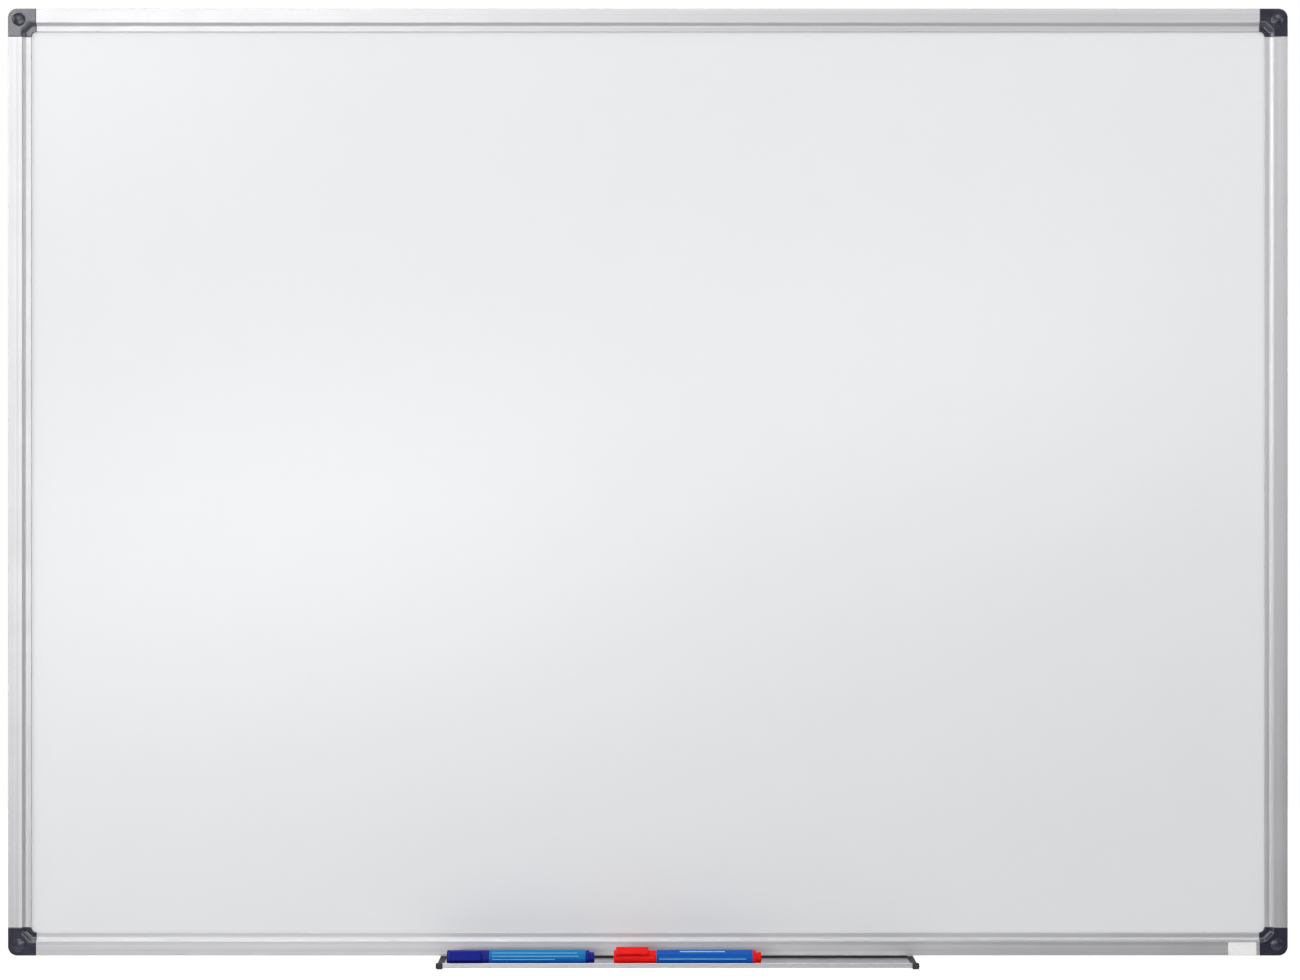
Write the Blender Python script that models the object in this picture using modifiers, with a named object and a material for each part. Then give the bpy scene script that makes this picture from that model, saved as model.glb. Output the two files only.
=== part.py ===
"""Magnetic whiteboard: steel-faced panel, aluminium frame, corner caps, sliding pen tray, two markers.

Metres, +Z up. The origin is the centre of the wall plane behind the board, and the board
faces -Y. Widths run along X and heights along Z. A depth is a distance out from the wall.
"""
import math

import bmesh
import bpy
from mathutils import Matrix, Vector

# Overall
board_width = 1.200
board_height = 0.888
frame_depth = 0.016

# Clearances
fit_gap = 0.0003
butt_gap = 0.0002
glue_line = 0.0001
thread_gap = 0.00015
cut_overrun = 0.001
weld_distance = 0.000001

# Rail section, from its outer edge inwards
band_width = 0.0131
cove_width = 0.0040
cove_depth = 0.0030
lip_width = 0.0042
rail_wall = 0.0012
chamber_width = 0.0116
rear_lip_short = 0.0013
rail_edge_radius = 0.0008

# Groove along the rail's outer side, for the tray's tongue
groove_depth = 0.0070
groove_mouth = 0.0040
groove_width = 0.0068
groove_room = 0.0018

# Panel
panel_overlap = 0.0068
sheet_thickness = 0.0005
back_sheet_thickness = 0.0003

# Corner cap
cap_size = 0.0262
cap_corner_radius = 0.0087
cap_step_run = 0.0080
leg_length = 0.0280
screw_inset = 0.0103
cover_radius = 0.00575
cover_pocket_depth = 0.0028
cover_crown = 0.0010
cover_rim = 0.0004
cover_roof = 0.0020
cover_skirt_length = 0.0026
cover_skirt_wall = 0.0010

# Wall screw, pan head
wall_head_radius = 0.0040
wall_head_height = 0.0026
wall_shank_radius = 0.0020
wall_head_seat = 0.0070
wall_screw_grip = 0.0260
wall_screw_point = 0.0040

# Rail screw, countersunk
rail_head_radius = 0.0027
rail_head_height = 0.00125
rail_shank_radius = 0.00145
rail_shank_length = 0.0080
rail_screw_point = 0.0015
rail_screw_run = 0.0140

# Cross recess in the screw heads
recess_bar_share = 0.14
recess_tip_share = 0.70
recess_reach_share = 0.62
recess_depth_share = 0.55

# Blank label on the bottom rail
label_width = 0.0263
label_height = 0.0120
label_thickness = 0.0002
label_side_gap = 0.0034

# Pen tray section
tray_length = 0.445
tray_offset = 0.0273
tray_reach = 0.0500
tray_gap = 0.0022
tray_floor = 0.0011
tray_rear_inset = 0.0030
tray_lip_height = 0.0037
tray_lip_wall = 0.0014
tray_heel_radius = 0.0012
port_width = 0.0054
port_height = 0.0046
port_bore_radius = 0.0016
port_depth = 0.0300

# Glide strip on the tray, behind the frame's front edge
strip_width = 0.0055

# Tray end caps and their screws
end_cap_thickness = 0.0062
end_cap_border = 0.0010
end_cap_round = 0.0013
tray_head_radius = 0.00275
tray_head_height = 0.0018
tray_shank_length = 0.0095
tray_screw_point = 0.0015
tray_head_sink = 0.0022

# Marker
marker_length = 0.1360
marker_cap_length = 0.0391
marker_tail_length = 0.0082
marker_barrel_radius = 0.0070
marker_wall = 0.0011
marker_cap_radius = 0.0068
marker_cap_end = 0.0070
marker_cap_edge = 0.0010
sleeve_wall = 0.00015
sleeve_gap = 0.00005
sleeve_inset = 0.0008
neck_radius = 0.0054
neck_wall = 0.0010
neck_length = 0.0114
neck_socket = 0.0026
nib_radius = 0.0021
nib_out = 0.0050
nib_point = 0.0020
nib_gap = 0.0015
tip_flange = 0.0022
tip_nose_wall = 0.0005
tip_socket = 0.0100
tail_collar_length = 0.0030
tail_end_radius = 0.0050
tail_step = 0.0004
tail_round = 0.0008
tail_stem_length = 0.0055
clip_start = 0.0020
clip_length = 0.0300
clip_width = 0.0080
clip_wall = 0.0017
clip_stand = 0.0021
clip_root = 0.0045
clip_bead = 0.0007
clip_bead_length = 0.0025

# Where the markers lie
marker_depth = 0.0572
marker_inset = 0.0099
marker_spacing = 0.0179
blue_clip_angle = math.radians(18)
red_clip_angle = math.radians(48)

# Facets
round_steps = 24
small_steps = 16
cove_steps = 6
corner_steps = 8
edge_steps = 3
crown_steps = 5

# Places worked out from the sizes above
rail_width = band_width + cove_width + lip_width
lip_front = frame_depth - cove_depth
lip_back = lip_front - rail_wall
slot_floor = rail_wall + chamber_width + rail_wall
panel_inset = rail_width - panel_overlap
panel_front = lip_back - fit_gap
panel_rear = rail_wall + fit_gap
chamber_start = rail_wall + groove_room + rail_wall
chamber_middle = (chamber_start + rail_wall + chamber_width) / 2
cover_pocket_radius = cover_radius + fit_gap
cover_pocket_floor = frame_depth - cover_pocket_depth
head_recess_radius = wall_head_radius + 2 * fit_gap
tray_top = -board_height / 2 - tray_gap
tray_bottom = tray_top - tray_floor
tray_front_depth = frame_depth + tray_reach
tray_profile_length = tray_length - 2 * end_cap_thickness - 2 * butt_gap
port_centre_height = tray_bottom - port_height / 2
marker_height = tray_top + fit_gap + marker_barrel_radius + sleeve_gap + sleeve_wall
blue_marker_start = tray_offset - tray_length / 2 + marker_inset
red_marker_start = blue_marker_start + marker_length + marker_spacing
barrel_start = marker_cap_length + fit_gap
barrel_end = marker_length - marker_tail_length
bore_radius = marker_barrel_radius - marker_wall
neck_bore_radius = neck_radius - neck_wall
neck_start = barrel_start - neck_length


def clear_scene():
    """Remove whatever the scene starts with."""
    for piece in list(bpy.data.objects):
        bpy.data.objects.remove(piece)


def new_collection(name):
    """A collection in the scene."""
    collection = bpy.data.collections.new(name)
    bpy.context.scene.collection.children.link(collection)
    return collection


def new_material(name, colour, roughness, metallic):
    """A Principled BSDF material of one colour."""
    material = bpy.data.materials.new(name)
    material.use_nodes = True
    shader = material.node_tree.nodes["Principled BSDF"]
    shader.inputs["Base Color"].default_value = (*colour, 1)
    shader.inputs["Roughness"].default_value = roughness
    shader.inputs["Metallic"].default_value = metallic
    material.diffuse_color = (*colour, 1)
    return material


clear_scene()
parts = new_collection("magnetic_whiteboard")
cutters = new_collection("cutters")

lacquer = new_material("white_lacquer", (0.86, 0.86, 0.87), 0.18, 0)
honeycomb = new_material("honeycomb_board", (0.34, 0.22, 0.11), 0.85, 0)
zinc_sheet = new_material("zinc_sheet", (0.52, 0.54, 0.56), 0.45, 1)
anodised = new_material("anodised_aluminium", (0.72, 0.72, 0.73), 0.34, 1)
anthracite = new_material("anthracite_plastic", (0.035, 0.035, 0.055), 0.42, 0)
dark_grey = new_material("dark_grey_plastic", (0.10, 0.10, 0.11), 0.45, 0)
black_strip = new_material("black_strip", (0.012, 0.012, 0.012), 0.60, 0)
zinc_screw = new_material("zinc_screw", (0.62, 0.62, 0.60), 0.35, 1)
paper = new_material("blank_paper", (0.88, 0.88, 0.88), 0.50, 0)
blue_plastic = new_material("blue_plastic", (0.012, 0.026, 0.240), 0.30, 0)
red_plastic = new_material("red_plastic", (0.62, 0.012, 0.010), 0.30, 0)
label_film = new_material("blue_label_film", (0.000, 0.105, 0.440), 0.25, 0)
pale_plastic = new_material("pale_plastic", (0.70, 0.72, 0.75), 0.30, 0)
black_plastic = new_material("black_plastic", (0.015, 0.015, 0.015), 0.40, 0)
ink_fibre = new_material("ink_fibre", (0.60, 0.60, 0.60), 0.95, 0)
blue_felt = new_material("blue_nib_felt", (0.010, 0.020, 0.170), 0.90, 0)
red_felt = new_material("red_nib_felt", (0.32, 0.010, 0.010), 0.90, 0)


def arc(centre, radii, start, end, steps):
    """Points along an elliptical arc, angles in degrees."""
    points = []
    for step in range(steps + 1):
        angle = math.radians(start + (end - start) * step / steps)
        points.append(
            (centre[0] + radii[0] * math.cos(angle), centre[1] + radii[1] * math.sin(angle))
        )
    return points


def outline_mesh(name, outline, thickness):
    """A flat outline in local XY raised along +Z, with one face over each end.

    The curve's own fill can miss points that lie on one line, so it makes only the walls.
    """
    curve = bpy.data.curves.new(name, "CURVE")
    curve.dimensions = "2D"
    curve.fill_mode = "NONE"
    curve.extrude = thickness / 2
    spline = curve.splines.new("POLY")
    spline.points.add(len(outline) - 1)
    for point, place in zip(spline.points, outline):
        point.co = (place[0], place[1], 0, 1)
    spline.use_cyclic_u = True
    flat = bpy.data.objects.new(name, curve)
    bpy.context.scene.collection.objects.link(flat)
    bpy.context.view_layer.update()
    graph = bpy.context.evaluated_depsgraph_get()
    mesh = bpy.data.meshes.new_from_object(flat.evaluated_get(graph))
    bpy.data.objects.remove(flat)
    bpy.data.curves.remove(curve)
    solid = bmesh.new()
    solid.from_mesh(mesh)
    bmesh.ops.remove_doubles(solid, verts=solid.verts, dist=weld_distance)
    bmesh.ops.holes_fill(solid, edges=solid.edges, sides=0)
    bmesh.ops.translate(solid, verts=solid.verts, vec=(0, 0, thickness / 2))
    bmesh.ops.recalc_face_normals(solid, faces=solid.faces)
    solid.to_mesh(mesh)
    solid.free()
    mesh.shade_smooth()
    mesh.set_sharp_from_angle(angle=math.radians(35))
    mesh.name = name
    return mesh


def box_mesh(name, low, high):
    """A box between two opposite corners."""
    low = Vector(low)
    high = Vector(high)
    solid = bmesh.new()
    place = Matrix.Translation((low + high) / 2) @ Matrix.Diagonal((*(high - low), 1))
    bmesh.ops.create_cube(solid, size=1, matrix=place)
    mesh = bpy.data.meshes.new(name)
    solid.to_mesh(mesh)
    solid.free()
    return mesh


def profile_mesh(name, points, closed):
    """The edges of a profile at +X, for a Screw modifier to turn about Z."""
    edges = [(index, index + 1) for index in range(len(points) - 1)]
    if closed:
        edges.append((len(points) - 1, 0))
    mesh = bpy.data.meshes.new(name)
    mesh.from_pydata([(radius, 0, height) for radius, height in points], edges, [])
    return mesh


def loft_mesh(name, rings):
    """Rings of equally many points, each joined to the next, with the first and last filled."""
    solid = bmesh.new()
    loops = [[solid.verts.new(point) for point in ring] for ring in rings]
    count = len(rings[0])
    for lower, upper in zip(loops, loops[1:]):
        for index in range(count):
            after = (index + 1) % count
            solid.faces.new((lower[index], lower[after], upper[after], upper[index]))
    solid.faces.new(loops[0])
    solid.faces.new(loops[-1])
    bmesh.ops.recalc_face_normals(solid, faces=solid.faces)
    mesh = bpy.data.meshes.new(name)
    solid.to_mesh(mesh)
    solid.free()
    return mesh


def part(name, mesh, matrix, material):
    """One sub-part, placed by its matrix."""
    mesh.materials.clear()
    mesh.materials.append(material)
    piece = bpy.data.objects.new(name, mesh)
    piece.matrix_world = matrix
    parts.objects.link(piece)
    return piece


def cutter(name, mesh, matrix):
    """A hidden solid that cuts or joins a sub-part."""
    tool = bpy.data.objects.new(name, mesh)
    tool.matrix_world = matrix
    tool.display_type = "WIRE"
    tool.hide_render = True
    cutters.objects.link(tool)
    return tool


def turn(piece, steps):
    """Turn a profile about the piece's own Z axis."""
    screw = piece.modifiers.new("turn", "SCREW")
    screw.axis = "Z"
    screw.steps = steps
    screw.render_steps = steps
    screw.use_merge_vertices = True
    screw.merge_threshold = weld_distance
    screw.use_smooth_shade = True
    return piece


def combine(piece, tool, operation):
    """Cut the piece with the tool, or join the tool to it."""
    boolean = piece.modifiers.new(tool.name, "BOOLEAN")
    boolean.operation = operation
    boolean.solver = "EXACT"
    boolean.object = tool


def through_cutter(name, outline, piece):
    """A cutter of one section all the way along an extruded piece."""
    length = max(point.co.z for point in piece.data.vertices)
    start = piece.matrix_world @ Matrix.Translation((0, 0, -cut_overrun))
    return cutter(name, outline_mesh(name, outline, length + 2 * cut_overrun), start)


def axes_matrix(x_axis, y_axis, origin):
    """A placing matrix from two axes at right angles and an origin."""
    x_axis = Vector(x_axis)
    y_axis = Vector(y_axis)
    z_axis = x_axis.cross(y_axis)
    matrix = Matrix((x_axis, y_axis, z_axis)).transposed().to_4x4()
    return Matrix.Translation(origin) @ matrix


# Corners and rails go round the frame anticlockwise, seen from the front. Each rail runs from the
# corner of the same number to the next one, along the first corner's own X axis.
corner_names = ("bottom_left", "bottom_right", "top_right", "top_left")
corner_signs = ((-1, -1), (1, -1), (1, 1), (-1, 1))
rail_names = ("bottom_rail", "right_rail", "top_rail", "left_rail")
rail_ends = (("left", "right"), ("bottom", "top"), ("right", "left"), ("top", "bottom"))


def corner_matrix(index):
    """Origin at a frame corner on the wall plane, X and Y inwards along the two rails."""
    sign_x, sign_z = corner_signs[index]
    origin = (sign_x * board_width / 2, 0, sign_z * board_height / 2)
    face = axes_matrix((1, 0, 0), (0, 0, 1), origin)
    return face @ Matrix.Rotation(index * math.pi / 2, 4, "Z")


def rail_matrix(index):
    """Section X inwards, section Y away from the wall, length along the corner's own X axis."""
    start = Matrix.Translation((cap_size + butt_gap, 0, 0))
    section = axes_matrix((0, 1, 0), (0, 0, 1), (0, 0, 0))
    return corner_matrix(index) @ start @ section


def rail_length(index):
    """The rail's length between its two corner caps."""
    side = board_width if index % 2 == 0 else board_height
    return side - 2 * (cap_size + butt_gap)


def rail_section():
    """The rail's outline, with its cove, panel slot and groove."""
    cove = arc(
        (band_width + cove_width, frame_depth), (cove_width, -cove_depth), 90, 180, cove_steps
    )
    edge = arc(
        (rail_edge_radius, frame_depth - rail_edge_radius),
        (rail_edge_radius, rail_edge_radius),
        90,
        180,
        edge_steps,
    )
    return [
        (0, 0),
        (rail_width - rear_lip_short, 0),
        (rail_width - rear_lip_short, rail_wall),
        (slot_floor, rail_wall),
        (slot_floor, lip_back),
        (rail_width, lip_back),
        (rail_width, lip_front),
        *cove,
        *edge,
        (0, groove_depth + groove_mouth / 2),
        (rail_wall, groove_depth + groove_mouth / 2),
        (rail_wall, groove_depth + groove_width / 2),
        (rail_wall + groove_room, groove_depth + groove_width / 2),
        (rail_wall + groove_room, groove_depth - groove_width / 2),
        (rail_wall, groove_depth - groove_width / 2),
        (rail_wall, groove_depth - groove_mouth / 2),
        (0, groove_depth - groove_mouth / 2),
    ]


def chamber_section():
    """The hollow inside the rail, which bends round the groove."""
    chamber_end = rail_wall + chamber_width
    inner_front = frame_depth - rail_wall
    return [
        (rail_wall, rail_wall),
        (chamber_end, rail_wall),
        (chamber_end, inner_front),
        (rail_wall, inner_front),
        (rail_wall, groove_depth + groove_width / 2 + rail_wall),
        (chamber_start, groove_depth + groove_width / 2 + rail_wall),
        (chamber_start, groove_depth - groove_width / 2 - rail_wall),
        (rail_wall, groove_depth - groove_width / 2 - rail_wall),
    ]


def rail_screw_places(index):
    """The places of a rail's two screws, over the legs inside it, with local Z to the wall."""
    run = cap_size + rail_screw_run
    far_corner = (index + 1) % len(corner_names)
    near = corner_matrix(index) @ Matrix.Translation((run, chamber_middle, 0))
    far = corner_matrix(far_corner) @ Matrix.Translation((chamber_middle, run, 0))
    return [place @ Matrix.Rotation(math.pi, 4, "X") for place in (near, far)]


def countersink_mesh():
    """The hole that a rail screw's cone and shank pass through, in the rail's back wall."""
    sink = rail_head_radius + fit_gap
    hole = rail_shank_radius + fit_gap
    points = [
        (0, cut_overrun),
        (sink, cut_overrun),
        (sink, -glue_line),
        (hole, -glue_line - rail_head_height),
        (hole, -rail_wall - 2 * cut_overrun),
        (0, -rail_wall - 2 * cut_overrun),
    ]
    return profile_mesh("countersink", points, False)


def make_rails():
    """Four lengths of one extrusion, with two countersunk holes in the back of each."""
    section = rail_section()
    chamber = chamber_section()
    hole = countersink_mesh()
    for index, name in enumerate(rail_names):
        mesh = outline_mesh(name, section, rail_length(index))
        rail = part(name, mesh, rail_matrix(index), anodised)
        combine(rail, through_cutter(f"{name}_chamber", chamber, rail), "DIFFERENCE")
        for end, place in zip(rail_ends[index], rail_screw_places(index)):
            tool = turn(cutter(f"{name}_hole_{end}", hole, place), small_steps)
            combine(rail, tool, "DIFFERENCE")


def make_panel():
    """Steel writing sheet, core board and back sheet, one behind the other in the rails' slot."""
    half_width = board_width / 2 - panel_inset
    half_height = board_height / 2 - panel_inset
    core_front = panel_front - sheet_thickness - glue_line
    core_rear = panel_rear + back_sheet_thickness + glue_line
    layers = (
        ("writing_sheet", panel_front - sheet_thickness, panel_front, lacquer),
        ("core_board", core_rear, core_front, honeycomb),
        ("back_sheet", panel_rear, panel_rear + back_sheet_thickness, zinc_sheet),
    )
    for name, rear, front, material in layers:
        low = (-half_width, -front, -half_height)
        high = (half_width, -rear, half_height)
        part(name, box_mesh(name, low, high), Matrix.Identity(4), material)


def cap_outline():
    """The cap's face: one rounded outer corner, and a hollow arc where the panel shows."""
    outer = arc(
        (cap_corner_radius, cap_corner_radius),
        (cap_corner_radius, cap_corner_radius),
        180,
        270,
        corner_steps,
    )
    notch = cap_size - rail_width
    inner = arc((cap_size, cap_size), (notch, notch), 270, 180, corner_steps)
    return [*outer, (cap_size, 0), *inner, (0, cap_size)]


def cap_step_mesh():
    """What is cut from the cap's face so that the rails' coves meet across the corner."""
    far = cap_size + cut_overrun
    rings = []
    levels = [(0, frame_depth + cut_overrun)]
    for step in range(cove_steps + 1):
        angle = math.pi / 2 * step / cove_steps
        inset = cove_width * (1 - math.cos(angle))
        levels.append((inset, frame_depth - cove_depth * math.sin(angle)))
    for inset, depth in levels:
        near = band_width + inset
        bend = band_width + cap_step_run + inset * (math.sqrt(2) - 1)
        rings.append(
            [
                (far, near, depth),
                (bend, near, depth),
                (near, bend, depth),
                (near, far, depth),
                (far, far, depth),
            ]
        )
    return loft_mesh("cap_step", rings)


def cap_bore_mesh():
    """Cover pocket, screw-head recess and screw hole, one below the other."""
    top = frame_depth + cut_overrun
    hole = wall_shank_radius + fit_gap
    points = [
        (0, top),
        (cover_pocket_radius, top),
        (cover_pocket_radius, cover_pocket_floor),
        (head_recess_radius, cover_pocket_floor),
        (head_recess_radius, wall_head_seat),
        (hole, wall_head_seat),
        (hole, -cut_overrun),
        (0, -cut_overrun),
    ]
    return profile_mesh("cap_bore", points, False)


def pilot_mesh():
    """The blind hole in a leg for a rail screw."""
    radius = rail_shank_radius + thread_gap
    bottom = -rail_head_height - rail_shank_length - rail_screw_point - fit_gap
    points = [(0, cut_overrun), (radius, cut_overrun), (radius, bottom), (0, bottom)]
    return profile_mesh("pilot", points, False)


def make_corner_caps():
    """Four moulded caps, each with a leg into the rail on either side of it."""
    face = outline_mesh("corner_cap", cap_outline(), frame_depth)
    step = cap_step_mesh()
    bore = cap_bore_mesh()
    pilot = pilot_mesh()
    pocket_start = panel_inset - fit_gap
    pocket_end = cap_size + cut_overrun
    pocket = box_mesh(
        "panel_pocket",
        (pocket_start, pocket_start, rail_wall),
        (pocket_end, pocket_end, lip_back),
    )
    leg_side_low = chamber_start + fit_gap
    leg_side_high = rail_wall + chamber_width - fit_gap
    leg_back = rail_wall + fit_gap
    leg_front = frame_depth - rail_wall - fit_gap
    leg_root = cap_size - cut_overrun
    leg_tip = cap_size + leg_length
    leg_on_x = box_mesh(
        "leg_on_x", (leg_root, leg_side_low, leg_back), (leg_tip, leg_side_high, leg_front)
    )
    leg_on_y = box_mesh(
        "leg_on_y", (leg_side_low, leg_root, leg_back), (leg_side_high, leg_tip, leg_front)
    )
    for index, corner in enumerate(corner_names):
        place = corner_matrix(index)
        cap = part(f"corner_cap_{corner}", face, place, anthracite)
        screw_place = place @ Matrix.Translation((screw_inset, screw_inset, 0))
        combine(cap, cutter(f"cap_step_{corner}", step, place), "DIFFERENCE")
        combine(cap, cutter(f"panel_pocket_{corner}", pocket, place), "DIFFERENCE")
        combine(cap, cutter(f"leg_on_x_{corner}", leg_on_x, place), "UNION")
        combine(cap, cutter(f"leg_on_y_{corner}", leg_on_y, place), "UNION")
        bore_tool = turn(cutter(f"cap_bore_{corner}", bore, screw_place), round_steps)
        combine(cap, bore_tool, "DIFFERENCE")
        pilot_places = (rail_screw_places(index)[0], rail_screw_places(index - 1)[1])
        for number, pilot_place in enumerate(pilot_places):
            tool = turn(cutter(f"pilot_{number}_{corner}", pilot, pilot_place), small_steps)
            combine(cap, tool, "DIFFERENCE")


def cross_recess(name, screw, place, head_radius, head_top, head_height):
    """Sink a cross into a screw's head, local Z out of the head."""
    bar = head_radius * recess_bar_share
    tip = bar * recess_tip_share
    reach = head_radius * recess_reach_share
    depth = head_height * recess_depth_share
    cross = []
    for arm in range(4):
        turned = Matrix.Rotation(arm * math.pi / 2, 2)
        for corner in ((reach, -tip), (reach, tip), (bar, bar)):
            cross.append(turned @ Vector(corner))
    mesh = outline_mesh(f"{name}_cross", cross, depth + cut_overrun)
    spot = place @ Matrix.Translation((0, 0, head_top - depth))
    combine(screw, cutter(f"{name}_cross", mesh, spot), "DIFFERENCE")


def pan_screw(name, place, head_radius, head_height, shank_radius, shank_length, point):
    """A pan-head screw, the underside of its head at local Z 0 and its point below."""
    edge = head_height / 2
    crown = arc((0, edge), (head_radius, head_height - edge), 90, 0, crown_steps)
    points = [
        *crown,
        (head_radius, 0),
        (shank_radius, 0),
        (shank_radius, -shank_length),
        (0, -shank_length - point),
    ]
    screw = turn(part(name, profile_mesh(name, points, False), place, zinc_screw), small_steps)
    cross_recess(name, screw, place, head_radius, head_height, head_height)


def make_wall_screws():
    """The screws that hang the board, through the corner caps into the wall."""
    head_under = wall_head_seat + fit_gap
    for index, corner in enumerate(corner_names):
        place = corner_matrix(index) @ Matrix.Translation((screw_inset, screw_inset, head_under))
        pan_screw(
            f"wall_screw_{corner}",
            place,
            wall_head_radius,
            wall_head_height,
            wall_shank_radius,
            head_under + wall_screw_grip,
            wall_screw_point,
        )


def make_rail_screws():
    """Countersunk screws from the back, through each rail into the legs inside it."""
    cone_end = -glue_line - rail_head_height
    points = [
        (0, -glue_line),
        (rail_head_radius, -glue_line),
        (rail_shank_radius, cone_end),
        (rail_shank_radius, cone_end - rail_shank_length),
        (0, cone_end - rail_shank_length - rail_screw_point + glue_line),
    ]
    for index, rail in enumerate(rail_names):
        for end, place in zip(rail_ends[index], rail_screw_places(index)):
            name = f"{rail}_screw_{end}"
            mesh = profile_mesh(name, points, False)
            screw = turn(part(name, mesh, place, zinc_screw), small_steps)
            cross_recess(name, screw, place, rail_head_radius, -glue_line, rail_head_height)


def make_screw_covers():
    """Domed covers with a hollow skirt, one over each wall screw."""
    rim_top = frame_depth - cover_rim
    rim_bottom = cover_pocket_floor + fit_gap
    skirt_radius = head_recess_radius - fit_gap
    skirt_bottom = rim_bottom - cover_skirt_length
    roof = frame_depth + cover_crown - cover_roof
    crown = arc((0, rim_top), (cover_radius, cover_crown + cover_rim), 90, 0, crown_steps)
    points = [
        *crown,
        (cover_radius, rim_bottom),
        (skirt_radius, rim_bottom),
        (skirt_radius, skirt_bottom),
        (skirt_radius - cover_skirt_wall, skirt_bottom),
        (skirt_radius - cover_skirt_wall, roof),
        (0, roof),
    ]
    mesh = profile_mesh("screw_cover", points, False)
    for index, corner in enumerate(corner_names):
        place = corner_matrix(index) @ Matrix.Translation((screw_inset, screw_inset, 0))
        turn(part(f"screw_cover_{corner}", mesh, place, anthracite), round_steps)


def make_label():
    """A small blank label on the bottom rail, beside the right corner cap."""
    right = board_width / 2 - cap_size - label_side_gap
    bottom = -board_height / 2 + (band_width - label_height) / 2
    back = frame_depth + glue_line
    low = (right - label_width, -back - label_thickness, bottom)
    high = (right, -back, bottom + label_height)
    part("blank_label", box_mesh("blank_label", low, high), Matrix.Identity(4), paper)


def side_matrix(x):
    """Section X towards the wall and section Y up, with the length along world X."""
    return axes_matrix((0, 1, 0), (0, 0, 1), (x, 0, 0))


def tray_section():
    """Floor, front lip, T-shaped tongue in the rail's groove, and the port's block below."""
    rail_under = -board_height / 2
    stem = groove_mouth / 2 - fit_gap
    head = groove_width / 2 - fit_gap
    head_bottom = rail_under + rail_wall + fit_gap
    head_top = rail_under + rail_wall + groove_room - fit_gap
    lip_inner = tray_front_depth - tray_lip_wall
    lip_round = tray_lip_wall / 2
    lip_top = tray_top + tray_lip_height
    lip = arc(
        (-lip_inner - lip_round, lip_top - lip_round), (lip_round, lip_round), 0, 180, crown_steps
    )
    heel = arc(
        (-tray_front_depth + tray_heel_radius, tray_bottom + tray_heel_radius),
        (tray_heel_radius, tray_heel_radius),
        180,
        270,
        edge_steps,
    )
    return [
        (-tray_rear_inset, tray_bottom),
        (-tray_rear_inset, tray_top),
        (-groove_depth + stem, tray_top),
        (-groove_depth + stem, head_bottom),
        (-groove_depth + head, head_bottom),
        (-groove_depth + head, head_top),
        (-groove_depth - head, head_top),
        (-groove_depth - head, head_bottom),
        (-groove_depth - stem, head_bottom),
        (-groove_depth - stem, tray_top),
        (-lip_inner, tray_top),
        *lip,
        *heel,
        (-port_depth - port_width / 2, tray_bottom),
        (-port_depth - port_width / 2, tray_bottom - port_height),
        (-port_depth + port_width / 2, tray_bottom - port_height),
        (-port_depth + port_width / 2, tray_bottom),
    ]


def port_section():
    """The round hole along the tray that takes the end caps' screws."""
    last = 360 - 360 / small_steps
    radii = (port_bore_radius, port_bore_radius)
    return arc((-port_depth, port_centre_height), radii, 0, last, small_steps - 1)


def end_cap_outline():
    """The end plate: level with the tray's floor, up to the lip in front, down round the port."""
    front = tray_front_depth + end_cap_border
    top = tray_top + tray_lip_height + fit_gap
    bottom = tray_bottom - end_cap_border
    rear = tray_rear_inset - end_cap_border / 2
    lip_inner = tray_front_depth - tray_lip_wall - end_cap_border / 2
    port_bottom = tray_bottom - port_height - end_cap_border
    port_half = port_width / 2 + end_cap_border
    radii = (end_cap_round, end_cap_round)
    upper = arc((-front + end_cap_round, top - end_cap_round), radii, 90, 180, edge_steps)
    lower = arc((-front + end_cap_round, bottom + end_cap_round), radii, 180, 270, edge_steps)
    return [
        (-rear, tray_bottom - end_cap_border / 2),
        (-rear, tray_top),
        (-lip_inner, tray_top),
        (-lip_inner, top),
        *upper,
        *lower,
        (-port_depth - port_half - end_cap_border, bottom),
        (-port_depth - port_half, port_bottom),
        (-port_depth + port_half, port_bottom),
    ]


def make_tray():
    """Tray profile, glide strip, and an end cap with its screw at either end."""
    start = tray_offset - tray_profile_length / 2
    mesh = outline_mesh("tray_profile", tray_section(), tray_profile_length)
    tray = part("tray_profile", mesh, side_matrix(start), anodised)
    combine(tray, through_cutter("tray_port", port_section(), tray), "DIFFERENCE")
    strip_rear = groove_depth + groove_mouth / 2
    low = (start, -strip_rear - strip_width, tray_top + fit_gap)
    high = (start + tray_profile_length, -strip_rear, -board_height / 2 - fit_gap)
    part("tray_glide_strip", box_mesh("tray_glide_strip", low, high), Matrix.Identity(4), black_strip)

    plate = outline_mesh("tray_end_cap", end_cap_outline(), end_cap_thickness)
    sink = tray_head_radius + fit_gap
    hole = port_bore_radius + fit_gap
    hole_points = [
        (0, cut_overrun),
        (sink, cut_overrun),
        (sink, -tray_head_sink),
        (hole, -tray_head_sink),
        (hole, -end_cap_thickness - cut_overrun),
        (0, -end_cap_thickness - cut_overrun),
    ]
    hole_mesh = profile_mesh("end_cap_hole", hole_points, False)
    for side, sign in (("left", -1), ("right", 1)):
        outer_face = tray_offset + sign * tray_length / 2
        plate_start = outer_face if sign < 0 else outer_face - end_cap_thickness
        cap = part(f"tray_end_cap_{side}", plate, side_matrix(plate_start), dark_grey)
        spot = (outer_face, -port_depth, port_centre_height)
        place = axes_matrix((0, sign, 0), (0, 0, 1), spot)
        tool = turn(cutter(f"end_cap_hole_{side}", hole_mesh, place), small_steps)
        combine(cap, tool, "DIFFERENCE")
        pan_screw(
            f"tray_screw_{side}",
            place @ Matrix.Translation((0, 0, fit_gap - tray_head_sink)),
            tray_head_radius,
            tray_head_height,
            port_bore_radius - thread_gap,
            tray_shank_length,
            tray_screw_point,
        )


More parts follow.
